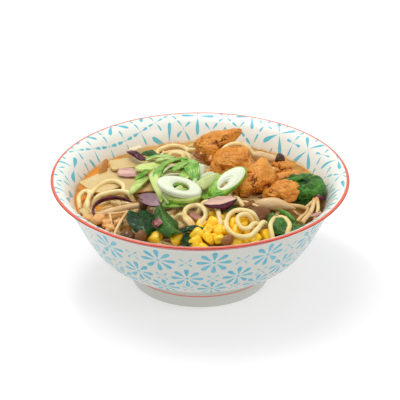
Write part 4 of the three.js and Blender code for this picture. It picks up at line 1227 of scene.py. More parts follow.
def clump_form():
    """A blunt, heaved ball with folds along it and creases on them, and how light each point is: painted
    light, lighter on the crests of the folds and creases.
    """
    d = directions(150, 240)
    lump = d * (0.5 * boxed(d, 2.2) * heaved(d, 0.2, 21))[..., None] * np.array(CLUMP_SIZE)
    folds = crumpled(lump * np.array([1, 0.5, 1]), 8.0, 12, 4, folded=True)
    creases = crumpled(lump, 3.5, 30, 2, folded=True)
    lump = lump + d * (2.4 * folds + creases + 0.2 * crumpled(lump, 1.5, 40, 2))[..., None]
    # painted light: the crests of the folds and creases are lighter, the folds between them stay almost black
    # as painted shade
    return lump, 0.05 + 0.7 * np.clip(folds, 0, 1) + 0.8 * np.clip(creases, 0, 1)


lump, light = clump_form()
skin = welded(settled(CLUMP, lump, CLUMP_PLACE, yaw=-40), light=light)
piece("spinach_clump_skin", skin, spinach_paint, "spinach", CLUMP)
for k, (dx, dy, drop, yaw, pitch) in enumerate(CLUMP_LEAVES):
    grid = sheet((18, 15, 1.3), taper=0.6, bend=60, curl=70, ripple=1.4, seed=k + 40, **LEAF)[0]
    at = (CLUMP_PLACE[0] + dx, CLUMP_PLACE[1] + dy)
    grid = settled(CLUMP, grid, at, yaw=yaw, pitch=pitch) - np.array([0, 0, drop])
    # the loose leaves on top are lighter green: painted light
    skin = welded(grid, light=0.7 + 0.15 * k)
    piece(f"spinach_clump_leaf_{k + 1}", skin, spinach_paint, "spinach", CLUMP)
skin = welded(ribbon(STALK_ROUTE, 3.0, 2.0, cup=-0.6, seed=3)[0], light=1.3)
piece("spinach_stalk_skin", skin, spinach_paint, "spinach", "spinach_leaf_4")
print("clump laid with", len(CLUMP_LEAVES), "loose leaves and a stalk")

# %% [markdown]
# ## Red onion
#
# A slice of red onion has a dark purple skin on one side and pink flesh with pale streaks along it. The
# purple could be a second thin sheet, but the two would fight for the same place. The sheet knows which
# face each point is on, so the purple is a stored number that follows one face and its edges.


# %% Onion paint
def onion_material():
    """Pink to white flesh with lengthwise streaks, under a purple skin given by a stored number."""
    paint = Paint("red_onion_flesh")
    _, v = paint.along_and_around()
    purple, pale = paint.stored("purple"), paint.stored("pale")
    around = v * 26 + paint.clouds(6.0, 2.0) * 2.5
    streak = around.sine() * 0.5 + 0.5
    cloud = paint.clouds(5.0, 3.0, shift=4.0)
    flesh = paint.mix((streak * 0.5 + cloud * 0.5).above(0.25, 0.7), rgb(178, 112, 110), rgb(212, 158, 144))
    flesh = paint.mix(pale, flesh, rgb(238, 222, 188))
    mauve = paint.mix(cloud, rgb(108, 76, 90), rgb(160, 126, 132))
    flesh = paint.mix(pale.below(-0.6, -0.4), flesh, mauve)
    skin = paint.mix(streak * cloud.above(0.3, 0.7), rgb(62, 4, 24), rgb(122, 28, 54))
    onion = paint.mix((purple + (cloud - 0.5) * 0.35).above(0.4, 0.62), flesh, skin)
    return paint.finish(
        Base_Color=onion, Roughness=0.2 + 0.2 * cloud, Specular_IOR_Level=0.25, Coat_Weight=0.12,
        Coat_Roughness=0.06, Subsurface_Weight=0.1, Subsurface_Radius=(0.002, 0.001, 0.001),
        Normal=paint.bump(streak, 0.2))


# %% The slices
# per node: its form, its place, which face carries the skin, how far the skin reaches in, how pale it is
ONION = {
    "red_onion_2": (dict(size=(22, 8, 1.8), bend=10, curl=10), spot(-48, 20, -4, roll=24), 1, 0.0, 0.2),
    "red_onion_3": (
        dict(size=(25, 12, 2.2), taper=1.0, bend=-20, curl=30, corner=4),
        spot(14, -40, 22, roll=14), -1, 0.2, 0.35),
    "red_onion_4": (dict(size=(18, 5, 2), taper=0.6, bend=44), spot(-1, -47, -42, roll=70), 1, 0.3, 0.1),
    "red_onion_5": (dict(size=(8, 6, 2.4), bend=20, curl=40), spot(-29, -60, 60, roll=40), 1, 0.5, 0.0),
    "red_onion_6": (
        dict(size=(13, 3.8, 1.6), taper=0.5, bend=30, curl=20), spot(82, -13, -16, roll=40), 1, 0.95, 0.3),
    "red_onion_petal": (
        dict(size=(23, 11, 2.2), taper=1.1, bend=20, curl=50, corner=2.6),
        spot(-35, -29, -50, roll=24), 1, 0.0, -1.0),
}
ONION_SHEET = dict(crumple=0.5, crease=8.0, ragged=0.05, corner=7, edge=5)
onion_paint = onion_material()
for seed, (node, (form, place, side, reach, pale)) in enumerate(ONION.items()):
    grid, v, face = sheet(seed=seed + 61, **(ONION_SHEET | form))
    purple = reach * smooth_step(0.5 + 2 * side * face) + 0.55 * smooth_step((np.abs(v) - 0.86) / 0.12)
    if node == "red_onion_3":
        purple = purple + smooth_step((-v - 0.3) / 0.2)
    laid(node, "flesh", grid, place, onion_paint, "red_onion", purple=purple, pale=pale)
print("onion slices laid:", len(ONION))

# %% Layers, bows and scraps
# the first slice is three layers of the bulb, side by side: how far aside and how bowed each is
LAYERS = [(-2, 0.6), (0, 1.2), (2, 0.6)]
LAYERS_PLACE = spot(-46.5, 36, -52, roll=50)
# thin bows: the long one at the left, the scrap beside slice 3, and the scrap by the wall at the right;
# per bow: its node, what kind of piece it is, its route, its width, its thickness and its lean
BOWS = [
    ("red_onion_arc", "flesh", [(-73, -39, 68), (-74, -31, 69), (-69.5, -22.5, 70), (-61, -18.5, 70.5),
                                (-53.5, -19, 70), (-47, -22, 69)], 3.2, 2.0, 80),
    ("red_onion_3", "scrap", [(11, -43, 72.5), (18, -40, 74), (23, -34, 75), (25, -27, 75)], 4.6, 2.4, 50),
    ("red_onion_6", "scrap", [(74, -35, 65), (79, -34, 65.5), (84, -30, 65.5)], 5.5, 1.4, 10),
]
layers = []
for aside, bow in LAYERS:
    route = [(-9, aside, -bow), (0, aside + 0.8, bow), (10, aside, -bow)]
    layer = settled("red_onion_1", ribbon(route, 3.0, 1.5, 35, seed=aside + 9)[0], **LAYERS_PLACE)
    # pale flesh between the purple skins: its own colour, and also painted highlight lines along the layers
    layers.append(welded(layer, purple=0.75, pale=0.6))
piece("red_onion_1_flesh", together(layers), onion_paint, "red_onion", "red_onion_1")
for seed, (node, kind, route, width, thickness, lean) in enumerate(BOWS):
    grid, v, _ = ribbon(route, width, thickness, lean, seed=seed + 90)
    purple = 1.3 * (v < -0.3) if node == "red_onion_6" else 1.0
    piece(f"{node}_{kind}", welded(grid, purple=purple, pale=0.1), onion_paint, "red_onion", node)
print("layers and bows laid:", len(LAYERS), "and", len(BOWS))

# %% [markdown]
# ## Mushrooms
#
# Small brown beech mushrooms: a beige stem with fine lines and a smooth, wet cap. They could be two
# meshes pushed into each other. One turned form has no seam: the first half of its rows is the stem and
# the second half the cap, and each point stores which of the two it is on.


# %% Mushroom paint
def mushroom_material():
    """Beige, streaked stem; cap in a tone of brown that the mesh stores."""
    paint = Paint("beech_mushroom")
    _, v = paint.along_and_around()
    cap, tone = paint.stored("cap"), paint.stored("tone")
    streak = (v * 190 + paint.clouds(3.0, 2.0) * 9).sine() * 0.5 + 0.5
    cloud = paint.clouds(4.0, 3.0, shift=5.0)
    stem = paint.mix(streak * 0.25 + cloud * 0.4, rgb(232, 200, 150), rgb(196, 150, 96))
    stem = paint.mix(cloud.above(0.55, 0.75) * 0.5, stem, rgb(214, 140, 66))
    brown = paint.mix(tone, rgb(158, 102, 54), rgb(38, 20, 10))
    brown = paint.mix(cloud.above(0.45, 0.8) * 0.35, brown, rgb(150, 98, 52))
    return paint.finish(
        Base_Color=paint.mix(cap, stem, brown), Roughness=0.34 - 0.12 * cap, Specular_IOR_Level=0.22,
        Coat_Weight=0.16, Coat_Roughness=0.07, Subsurface_Weight=0.08,
        Subsurface_Radius=(0.002, 0.0015, 0.001),
        Normal=paint.bump(streak * (1 - cap) * 0.4 + cloud * 0.6, 0.12))


# %% The mushrooms
def capped(length, thick, radius):
    """A stem with its cap, as one outline."""
    return np.concatenate([stem_line(length, thick), cap_line(length, radius)])


LONE_STEM = smooth_line([(0, 0), (0.2, 1.2), (3, 2.7), (9, 4.1), (16, 4.3), (22, 3.3), (27, 1.9), (31, 1.0),
                         (31.3, 0)], 120)
# per node: its outline, its bend in degrees, how flat it is, its place, where along it the cap starts (as
# a share: 0 for a cap alone, over 1 for a stem alone) and how dark the cap is
MUSHROOMS = {
    "mushroom_1": (capped(30, 2.5, 4.4), 14, 1, spot(-53, -32, 18, 4), 0.5, 0.75),
    "mushroom_2": (capped(19, 4.2, 5.2), 10, 1, spot(49.5, 45.5, -14, -5), 0.5, 0.9),
    "mushroom_cap_1": (cap_line(0, 8.6), 0, 0.85, spot(40.5, -39, -70, 58), 0, 0.5),
    "mushroom_cap_2": (cap_line(0, 5.6), 0, 0.8, spot(-50, -64, -120, 60, 20), 0, 0.65),
    "mushroom_cap_3": (cap_line(0, 4.6), 0, 0.75, spot(-40, -67, -60, 66, 30), 0, 0.45),
    "mushroom_cap_4": (cap_line(0, 4.8), 0, 0.7, spot(19, -74, -40, 70), 0, 0.12),
    "mushroom_stem": (LONE_STEM, 52, 1, spot(51, -27, -6, roll=12), 2, 0.0),
}
mushroom_paint = mushroom_material()
for seed, (node, (outline, bend, flatten, place, start, tone)) in enumerate(MUSHROOMS.items()):
    outline = np.concatenate([[[outline[0, 0], 0]], outline])
    form = stalk(outline, bend, flatten, seed + 80)
    cap = (np.linspace(0, 1, len(form)) > start)[:, None] * 1.0
    laid(node, "skin", form, place, mushroom_paint, "mushroom", cap=cap, tone=tone)
print("mushrooms laid:", len(MUSHROOMS))

# %% Slivers of cap
# seen edge on between the noodles
SLIVERS = [[(30, -33, 71), (34, -29, 72), (37, -25, 71.5)], [(-4, 47, 73), (-2, 42, 74), (1, 37, 73)]]
slivers = []
for seed, route in enumerate(SLIVERS):
    slivers.append(welded(ribbon(route, 5, 2.2, 25, cup=-0.8, seed=seed)[0], cap=1.0, tone=0.3))
piece("mushroom_slivers", together(slivers), mushroom_paint, "mushroom")
print("slivers laid:", len(slivers))

# %% [markdown]
# ## Sweetcorn
#
# A physics simulation could pour the grains. Here they lie where the construction model put them, each
# a blunt wedge turned by its own seed, and more grains fill the heap, so that no hole shows through it.


# %% Corn paint
def corn_material():
    """Bright yellow, paler in patches, and very wet."""
    paint = Paint("sweetcorn_skin")
    cloud = paint.clouds(3.0, 2.0)
    pale = paint.clouds(9.0, 1.0, shift=6.0)
    yellow = paint.mix(cloud.above(0.3, 0.7), rgb(252, 196, 10), rgb(255, 212, 40))
    yellow = paint.mix(pale.above(0.55, 0.7) * 0.4, yellow, rgb(252, 226, 110))
    return paint.finish(
        Base_Color=yellow, Roughness=0.2 + 0.1 * cloud, Specular_IOR_Level=0.3, Coat_Weight=0.4,
        Coat_Roughness=0.05, Normal=paint.bump(cloud, 0.18))


# %% The heap that the toppings lie on
HEAP_RADIUS = 79
HEAP_MIDDLE_TOP, HEAP_EDGE_TOP = 67.5, 61.5


def heap_edge(angle):
    """How far out the noodle heap reaches: its radius plus three long waves and seven short ones."""
    return HEAP_RADIUS + 1.6 * np.sin(3 * angle + 0.6) + 1.1 * np.sin(7 * angle + 2)


def heap_top(x, y):
    """The heap's core: a dome that falls with the square of the distance, with a few waves on it."""
    share = np.minimum(1, np.hypot(x, y) / heap_edge(np.arctan2(y, x)))
    fall = (HEAP_EDGE_TOP - HEAP_MIDDLE_TOP) * share * share
    return HEAP_MIDDLE_TOP + fall + 0.7 * waves(0.14 * x, 0.14 * y, 0, 40)


print("the heap's top in the middle:", round(float(heap_top(0.0, 0.0)), 1), "mm")

# %% The grains
GRAIN_SIZE = (10.0, 8.6, 6.8)
HEAP_CENTRE = (13, -58)
# each grain's place seen from above, and how large it is beside the usual one
CORN_HEAP = [
    (-2, -63, 1.2), (-3, -74, 1.0), (6, -69, 0.95), (13, -69, 0.9), (5, -61, 0.9), (12, -61.5, 0.95),
    (8.5, -54.5, 1.0), (8, -43, 1.0), (14, -46, 0.9), (19.5, -41.5, 1.05), (28.5, -39, 0.95), (16, -54, 0.9),
    (23, -54, 0.9), (29.5, -48, 1.0), (25, -60, 1.0), (18, -62, 0.85), (24, -71, 1.0), (1, -51, 0.9),
    (22, -47.5, 0.9), (35, -43, 0.9),
]
CORN_UNDER = [(18, -69), (31, -66), (1, -57), (32, -56), (3, -77), (13, -50), (-1, -69), (9, -64), (20, -57)]
SINGLE_GRAINS = [(-31, -63), (-16, -69), (37, -65), (46, -60)]


def grain_turned(seed, size=1.0):
    """One grain, turned as its seed picks, as in the construction model."""
    yaw, pitch, roll = 360 * picked(seed + 1), 50 * picked(seed + 2) - 5, 60 * picked(seed + 3)
    return turned(grain(*(side * size for side in GRAIN_SIZE), seed), yaw, pitch, roll)


corn_paint = corn_material()
heaped = []
for k, (x, y, size) in enumerate(CORN_HEAP):
    from_centre = (x - HEAP_CENTRE[0]) ** 2 + (y - HEAP_CENTRE[1]) ** 2
    lift = max(1.8, 4.6 - 0.013 * from_centre + 0.9 * picked(k + 70))
    heaped.append(welded(grain_turned(4 * k + 100, size) + np.array([x, y, heap_top(x, y) + lift])))
for k, (x, y) in enumerate(CORN_UNDER):
    heaped.append(welded(grain_turned(6 * k + 500, 0.95) + np.array([x, y, heap_top(x, y) + 0.6])))
piece("corn_heap_grains", together(heaped), corn_paint, "sweetcorn", "corn_heap")
for k, at in enumerate(SINGLE_GRAINS):
    single = grain_turned(5 * k + 300, 1.12)
    laid(f"corn_kernel_{k + 1}", "skin", single, dict(at=at), corn_paint, "sweetcorn")
print("corn laid:", len(heaped), "grains in the heap")

# %% [markdown]
# ## Fried chicken
#
# Torn, fried pieces have a crust that is smooth in some places and broken in others. A bump in the paint
# alone would leave the outline smooth. So the crags are moved vertices: flat cuts give the torn faces,
# folded noise the ridges of the meat, and finer noise the crumbs. How deep each point lies is stored,
# and makes the paint darker there as painted shade.


# %% Chicken paint
def chicken_material():
    """Orange-brown crust, darker in the hollows as painted shade, with darker torn streaks and specks of
    spice, and paler on the fallen crumbs.
    """
    paint = Paint("fried_crust")
    hollow = paint.stored("hollow")
    cloud = paint.clouds(8.0, 4.0)
    fine = paint.clouds(1.5, 3.0, shift=5.0)
    crust = paint.mix(cloud.above(0.3, 0.7), rgb(214, 130, 34), rgb(238, 160, 58))
    crust = paint.mix(fine.above(0.5, 0.7) * 0.6, crust, rgb(246, 184, 92))
    crust = paint.mix(fine.below(0.3, 0.46) * 0.6, crust, rgb(178, 96, 26))
    torn = paint.clouds(3.2, 4.0, stretch=(0.4, 1.0, 1.0), shift=14.0)
    crust = paint.mix(torn.below(0.34, 0.44) * 0.6, crust, rgb(150, 72, 18))
    speck = paint.cells(2.2, shift=9.0).below(0.1, 0.18) * cloud.above(0.4, 0.6)
    crust = paint.mix(speck * 0.6, crust, rgb(128, 48, 16))
    # painted shade: the crust darkens towards near black the deeper a point lies in a hollow
    depth = hollow + (fine - 0.5) * 0.35
    crust = paint.mix(depth.above(0.3, 0.75) * 0.75, crust, rgb(150, 72, 22))
    crust = paint.mix(depth.above(0.7, 1.1) * 0.9, crust, rgb(70, 28, 10))
    crust = paint.mix(hollow.below(-0.4, -0.2) * 0.6, crust, rgb(238, 190, 130))
    return paint.finish(
        Base_Color=crust, Roughness=0.3 + 0.25 * fine, Specular_IOR_Level=0.25, Coat_Weight=0.2,
        Coat_Roughness=0.1, Normal=paint.bump(fine + torn, 0.9))


# %% The chunks
SMALL_CHUNK = dict(relief=0.12, rows=110, columns=170)
CHUNKS = {
    "chicken_chunk_1": (
        dict(size=(37, 16, 17), boxy=4, relief=0.12, seed=37, crag=0.9, taper=0.72), spot(14.5, 50, 6, 30)),
    "chicken_chunk_2": (dict(size=(29, 22, 17), relief=0.2, seed=32), spot(22, 29, -10, 4)),
    "chicken_chunk_3": (dict(size=(22, 20, 16), relief=0.2, seed=33), spot(34, -2, 24)),
    "chicken_chunk_4": (dict(size=(24, 18, 14), relief=0.22, seed=34), spot(57, -11, -8)),
    "chicken_chunk_5": (
        dict(size=(19, 20, 20), boxy=8, relief=0.06, seed=35, crag=0.7), spot(42, 4, 28, -8, 16)),
    "chicken_chunk_6": (dict(size=(16, 11, 8), seed=36, **SMALL_CHUNK), spot(59, 33, -14)),
    "chicken_chunk_7": (dict(size=(18, 9, 7), seed=37, **SMALL_CHUNK), spot(62, 20, 12)),
}
TALL_CHUNK, TALL_CHUNK_LIFT = "chicken_chunk_1", 3  # this chunk stands higher than its node by this much
chicken_paint = chicken_material()
for node, (form, place) in CHUNKS.items():
    grid, hollow = chunk(**form)
    grid = settled(node, grid, **place)
    if node == TALL_CHUNK:
        grid = grid + np.array([0, 0, TALL_CHUNK_LIFT])
    piece(node + "_crust", welded(grid, hollow=hollow), chicken_paint, "fried_chicken", node)
print("chunks laid:", len(CHUNKS))

# %% Fallen crumbs
# crumbs of crust and minced meat in the soup at the left and by the chunks: place and size
CRUMBS = [(-76, -38, 64.5, 9), (-70, -41, 65.5, 10), (-64, -45, 65, 8), (-71, -34, 65.5, 6),
          (-62, -52, 65, 7), (-56, -44, 66, 6), (70, 8, 66, 6), (50, 22, 72, 6), (4, 44, 74, 6),
          (8, 36, 74, 5)]
CRUMB = dict(boxy=2.2, relief=0.3, crag=0.6, rows=60, columns=90)
fallen = []
for k, (x, y, z, size) in enumerate(CRUMBS):
    grid, hollow = chunk((size, 0.75 * size, 0.55 * size), seed=k + 60, **CRUMB)
    fallen.append(welded(turned(grid, yaw=47 * k) + np.array([x, y, z]), hollow=0.3 * hollow - 0.5))
piece("fallen_crumbs", together(fallen), chicken_paint, "fried_chicken")
print("crumbs laid:", len(fallen))

# %% [markdown]
# ## Spring onion
#
# Oblique slices, rings and strips of a spring onion run from white through pale yellow-green to lime.
# Each shade could be a material of its own. With one paint, the shades run into each other as they do on
# a stalk: how pale a point is, is stored with it. Slices are white on top and green on the stalk's skin.


# %% Spring onion paint
def spring_onion_material():
    """Lime green to white by a stored paleness, with fine pale veins along each piece."""
    paint = Paint("spring_onion_skin")
    _, v = paint.along_and_around()
    pale, rings = paint.stored("pale"), paint.stored("rings")
    cloud = paint.clouds(6.0, 3.0)
    vein = (v * 110 + cloud * 3).sine() * 0.5 + 0.5
    green = paint.mix(cloud.above(0.3, 0.7), rgb(80, 148, 16), rgb(142, 196, 30))
    lime = paint.mix(cloud, rgb(196, 220, 96), rgb(222, 234, 154))
    white = paint.mix(cloud, rgb(220, 229, 194), rgb(240, 243, 222))
    depth = pale + (cloud - 0.5) * 0.25
    skin = paint.mix(depth.above(0.05, 0.5), green, lime)
    skin = paint.mix(depth.above(0.55, 0.9), skin, white)
    skin = paint.mix(vein * cloud.above(0.3, 0.8) * (1 - rings) * 0.4, skin, rgb(226, 238, 184))
    skin = paint.mix(rings * vein.below(0.1, 0.3) * 0.06, skin, rgb(190, 212, 140))
    return paint.finish(
        Base_Color=skin, Roughness=0.2 + 0.14 * cloud, Specular_IOR_Level=0.4, Coat_Weight=0.35,
        Coat_Roughness=0.06, Subsurface_Weight=0.12, Subsurface_Radius=(0.002, 0.002, 0.001),
        Normal=paint.bump(vein, 0.14))


# %% Strips, curls and crescents
# per node: form, place, paleness on the upper face and on the lower face
STRIPS = {
    "spring_onion_dark_strip": (
        dict(size=(24, 9, 2), taper=0.5, bend=20, curl=50), spot(-15, -29, 12, roll=20), -0.2, 0.1),
    "spring_onion_end": (dict(size=(12, 12, 2), taper=0.5, bend=14, curl=40), spot(5, -15, -12), -0.1, 0.3),
    "spring_onion_pale_slice": (
        dict(size=(23, 11, 3), taper=0.6, bend=20, curl=30), spot(-35, 21, 10), 0.5, 0.6),
    "spring_onion_strip_1": (
        dict(size=(32, 7, 2.2), taper=0.6, bend=26, curl=50), spot(-42, -2, 64), 0.35, 0.4),
    "spring_onion_tip": (
        dict(size=(13, 7, 1.6), taper=1.2, curl=50, corner=3), spot(-26, 42, 84, 44), 0.05, 0.2),
    "spring_onion_strip_2": (
        dict(size=(48, 6.5, 2), taper=0.5, bend=60, curl=20), spot(-32, -6, -80, roll=30), 0.5, 0.6),
    "spring_onion_crescent_1": (
        dict(size=(24, 7.5, 2.6), taper=0.5, bend=84), spot(1, -1, 50, roll=225), 0.66, 0.8),
    "spring_onion_crescent_2": (
        dict(size=(26, 8, 2.6), taper=0.5, bend=84), spot(4, -7, 50, roll=225), 0.5, 0.66),
    "spring_onion_curled_strip": (
        dict(size=(36, 12, 1.8), taper=0.6, bend=80, curl=60, twist=50), spot(-7, 10, -74), 0.0, 0.4),
}
STRIP_SHEET = dict(crumple=0.6, crease=9.0, ragged=0.06, corner=6, edge=5, rows=96, columns=84)
spring_onion_paint = spring_onion_material()
for seed, (node, (form, place, upper, lower)) in enumerate(STRIPS.items()):
    grid, _, face = sheet(seed=seed + 120, **(STRIP_SHEET | form))
    u = np.linspace(0, 1, len(grid))[:, None]
    pale = lower + (upper - lower) * smooth_step(0.5 + face)
    pale = pale + 0.35 * smooth_step((np.abs(2 * u - 1) - 0.8) / 0.2)
    # the curled strip's end at the back is paler: a painted highlight on its top
    if node == "spring_onion_curled_strip":
        pale = pale + 0.6 * smooth_step((0.4 - u) / 0.3)
    laid(node, "skin", grid, place, spring_onion_paint, "spring_onion", pale=pale, rings=0.0)
print("strips laid:", len(STRIPS))

# %% Rings
WHITE_RING, OVAL_SLICE = "spring_onion_white_ring", "spring_onion_oval_slice"
# per node: form, place, paleness on the outer side
RINGS = {
    "spring_onion_underslice": (
        dict(size=(28, 15, 4), hole=(0.4, 0.4), slant=1, seed=4), spot(-13, -26, -14, roll=8), 0.2),
    WHITE_RING: (
        dict(size=(32, 18, 4.4), hole=(0.36, 0.42), slant=-1, aside=0.04, seed=5),
        spot(-14.4, -24, -12, -8, 16), 0.95),
    OVAL_SLICE: (
        dict(size=(33, 15, 5), hole=(0.2, 0.13), slant=2, aside=-0.1, blunt=0.8, seed=6),
        spot(19, -14, 38, 18, 26), 0.1),
}
for node, (form, place, outer) in RINGS.items():
    grid, out, up = ring_slice(**form)
    x, y = grid[..., 0] / form["size"][0], grid[..., 1] / form["size"][1]
    top = 0.98 if node == WHITE_RING else 0.42
    if node == OVAL_SLICE:
        top = 0.1 + 0.95 * smooth_step((1 - np.hypot((x - 0.1) / 0.38, y / 0.42)) / 0.12)
    pale = outer + (0.62 - outer) * smooth_step(0.5 - 1.5 * out)
    pale = pale + (top - pale) * smooth_step((up - 0.1) / 0.3)
    laid(node, "skin", grid, place, spring_onion_paint, "spring_onion", pale=pale, rings=1.0)
print("rings laid:", len(RINGS))

# %% The next leaf in the white ring's hole
# it shows in pieces; per piece: its route in the ring's own frame, its width, its lean and how pale it is
INNER = [
    ([(-7, -1, -2.4), (0, -0.5, -2.2), (7, -1, -2.4)], 8, 0, 0.0),
    ([(-6, 0, -1), (-3.5, 2, 0), (1, 3.2, -0.6)], 3.4, 30, -0.1),
    ([(-2.5, -2.6, -1), (0.5, 0, 0.1), (1.5, 3, -1)], 3, -25, 0.62),
    ([(0, -3.4, -1), (3, -1.4, -0.2), (6, 1, -1)], 3, 15, 0.2),
]
form, place, _ = RINGS[WHITE_RING]
turns = {name: angle for name, angle in place.items() if name != "at"}
ring = ring_slice(**form)[0]
moved = (settled(WHITE_RING, ring, **place) - turned(ring, **turns))[0, 0]
inner = []
for seed, (route, width, lean, pale) in enumerate(INNER):
    leaf = turned(ribbon(route, width, 1.3, lean, seed=seed)[0], **turns) + moved
    inner.append(welded(leaf, pale=pale, rings=0.0))
piece("spring_onion_inner_leaf", together(inner), spring_onion_paint, "spring_onion")
print("inner leaf laid in", len(inner), "pieces")

# %% Shreds
# more thin strips between the named ones, as a cut stalk falls apart: route, width, lean, paleness
SHREDS = [
    ([(-40, 29, 75.5), (-31, 33, 76.5), (-18, 32, 76.5)], 4.5, 10, 0.3),
    ([(-32, 25, 77), (-25, 27, 78), (-18, 25, 78.5)], 7, 15, 0.28),
    ([(-27, 2, 79), (-23, 8, 80.5), (-15, 11, 81)], 6.5, 25, 0.62),
    ([(-19, 2, 80.5), (-14, 8, 82), (-9, 14, 82.5)], 8, 15, 0.12),
    ([(-33, 16, 78), (-29, 8, 78.5), (-28, -2, 78.5)], 5, 20, 0.5),
    ([(-37, 13, 76.5), (-41, 6, 76), (-46, 0, 75)], 3.5, 30, 0.0),
    ([(-30, -3, 76.5), (-22, 2, 78), (-10, 2, 78.5)], 8, 20, 0.62),
    ([(-27, 11, 77), (-16, 9, 78.5), (-5, 5, 78)], 8, 10, 0.4),
    ([(-13, -6, 78), (-9, 3, 79.5), (-7, 12, 80)], 8, -10, 0.25),
    ([(-20, 20, 78), (-12, 22, 79), (-5, 24, 78)], 6, 20, 0.2),
    ([(-28, -18, 75), (-25, -25, 75), (-22, -33, 73.5)], 4, 40, 0.55),
    ([(-31, -12, 76), (-29, -22, 75), (-27, -31, 73)], 3.5, 20, 0.3),
    ([(2, -30, 75), (9, -27, 75), (14, -24, 74)], 4.5, 30, -0.1),
]
shreds = []
for seed, (route, width, lean, pale) in enumerate(SHREDS):
    grid, v, _ = ribbon(route, width, 1.5, lean, cup=0.8, seed=seed + 30)
    shreds.append(welded(grid, pale=pale + 0.15 * v, rings=0.0))
piece("spring_onion_shreds", together(shreds), spring_onion_paint, "spring_onion")
print("shreds laid:", len(shreds))

# %% The loop and the white end
LOOP_ROUTE = [(-31, -9, 78.5), (-31, 0, 80), (-27, 10, 81.5), (-18, 17, 82.5), (-8, 20, 82.5)]
WHITE_END_OUTLINE = [(0, 0), (0, 1.2), (0.1, 3.0), (0.9, 3.6), (8, 3.6), (8.9, 3.0), (9, 1.2), (9, 0)]
WHITE_END_PLACE = spot(0, 12, 80, 40)
grid, _, face = ribbon(LOOP_ROUTE, 8, 1.8, (20, 45, 30), cup=-1.0, taper=0.4, seed=41)
skin = welded(grid, pale=0.02 + 0.2 * (face < 0), rings=0.0)
piece("spring_onion_loop_skin", skin, spring_onion_paint, "spring_onion", "spring_onion_loop")
form = stalk(smooth_line(WHITE_END_OUTLINE, 90), seed=9, relief=0.05)
laid("spring_onion_white_end", "skin", form, WHITE_END_PLACE, spring_onion_paint, "spring_onion",
     pale=0.95, rings=0.0)
print("loop and white end laid")

# %% [markdown]
# ## Noodles
#
# A noodle is a round strand along a line. A curve object with a bevel would give one too, but its
# thickness would be perfectly even. Here circles are set square to the line, each a little uneven. The
# named noodles follow the routes that the construction model gives them, seen from above. Their heights
# come from a map of what lies under them: the strand rests on the heap and on whatever it crosses, and
# spans the hollows between. Under them lies a bed of many more noodles, each a random wandering line, so
# that the heap is made of noodles wherever it shows.

# %% A map of the highest point over each small square
CELL = 0.8  # millimetres
CELLS = math.ceil(2 * RIM_RADIUS / CELL)
WINDOW = list(itertools.product(range(-3, 4), repeat=2))
FAR_BELOW, FAR_ABOVE = -1000.0, 1000.0


def squares(points):
    """The map squares that points lie over."""
    return tuple(np.clip(((points[..., k] + RIM_RADIUS) / CELL).astype(int), 0, CELLS - 1) for k in (1, 0))


def spread_over(thing):
    """Points spread over every triangle of an object, in millimetres: sums of its corners in 18 steps."""
    steps = 18
    mesh = thing.data
    places = np.empty(len(mesh.vertices) * 3, np.float32)
    mesh.vertices.foreach_get("co", places)
    mesh.calc_loop_triangles()
    corners = np.empty(len(mesh.loop_triangles) * 3, np.int32)
    mesh.loop_triangles.foreach_get("vertices", corners)
    triangles = places.reshape(-1, 3)[corners].reshape(-1, 3, 3) / MM
    i, j = np.meshgrid(range(steps + 1), range(steps + 1))
    kept = i + j <= steps
    a, b = i[kept] / steps, j[kept] / steps
    weights = np.stack([a, b, 1 - a - b], -1)
    return np.einsum("sk,tkx->tsx", weights, triangles).reshape(-1, 3)


def near(field, points, pick):
    """The highest or the lowest mark within a few squares of each point."""
    row, column = squares(points)
    found = [field[np.clip(row + i, 0, CELLS - 1), np.clip(column + j, 0, CELLS - 1)] for i, j in WINDOW]
    return pick(found, axis=0)


HEAP_NODES = ("bowl", "broth", "noodle_heap")
tops = np.full((CELLS, CELLS), FAR_BELOW)
ceiling = np.full((CELLS, CELLS), FAR_ABOVE)
for name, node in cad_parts.items():
    if name not in HEAP_NODES:
        points = spread_over(node)
        np.maximum.at(tops, squares(points), points[:, 2])
        np.minimum.at(ceiling, squares(points), points[:, 2])
print("map of the toppings made,", int((tops > 0).sum()), "squares covered")


# %% A strand along a line
def strand(line, radius, seed=0, sides=14, step=0.8):
    """A round strand: at each point of the line a circle square to it, its radius a little uneven."""
    line = spaced(np.asarray(line), step)
    along = direction_along(line)
    side = np.cross(along, (0, 0, 1))
    side /= np.maximum(np.linalg.norm(side, axis=1), 1e-6)[:, None]
    over = np.cross(side, along)
    turn = np.linspace(0, 2 * math.pi, sides + 1)[None, :, None]
    thick = radius * (1 + 0.07 * lattice_noise(line / 6.0, seed))
    thick = np.concatenate([[0, 0.82 * thick[0]], thick, [0.82 * thick[-1], 0]])[:, None, None]
    line = np.concatenate([[line[0]] * 2, line, [line[-1]] * 2])
    line[:2] -= 0.25 * along[0]
    line[-2:] += 0.25 * along[-1]
    side, over = (np.concatenate([[a[0]] * 2, a, [a[-1]] * 2])[:, None] for a in (side, over))
    grid = line[:, None] + thick * (np.cos(turn) * side + np.sin(turn) * over)
    grid[:, -1] = grid[:, 0]
    return grid



# %% Letting a strand rest
STRAND_STEP, GAP = 1.2, 0.3  # millimetres
SAG = 0.008


def softened(z, rounds):
    """Heights with each one moved halfway to the mean of its neighbours, this many times over."""
    for _ in range(rounds):
        z[1:-1] = 0.5 * z[1:-1] + 0.25 * (z[:-2] + z[2:])
    return z


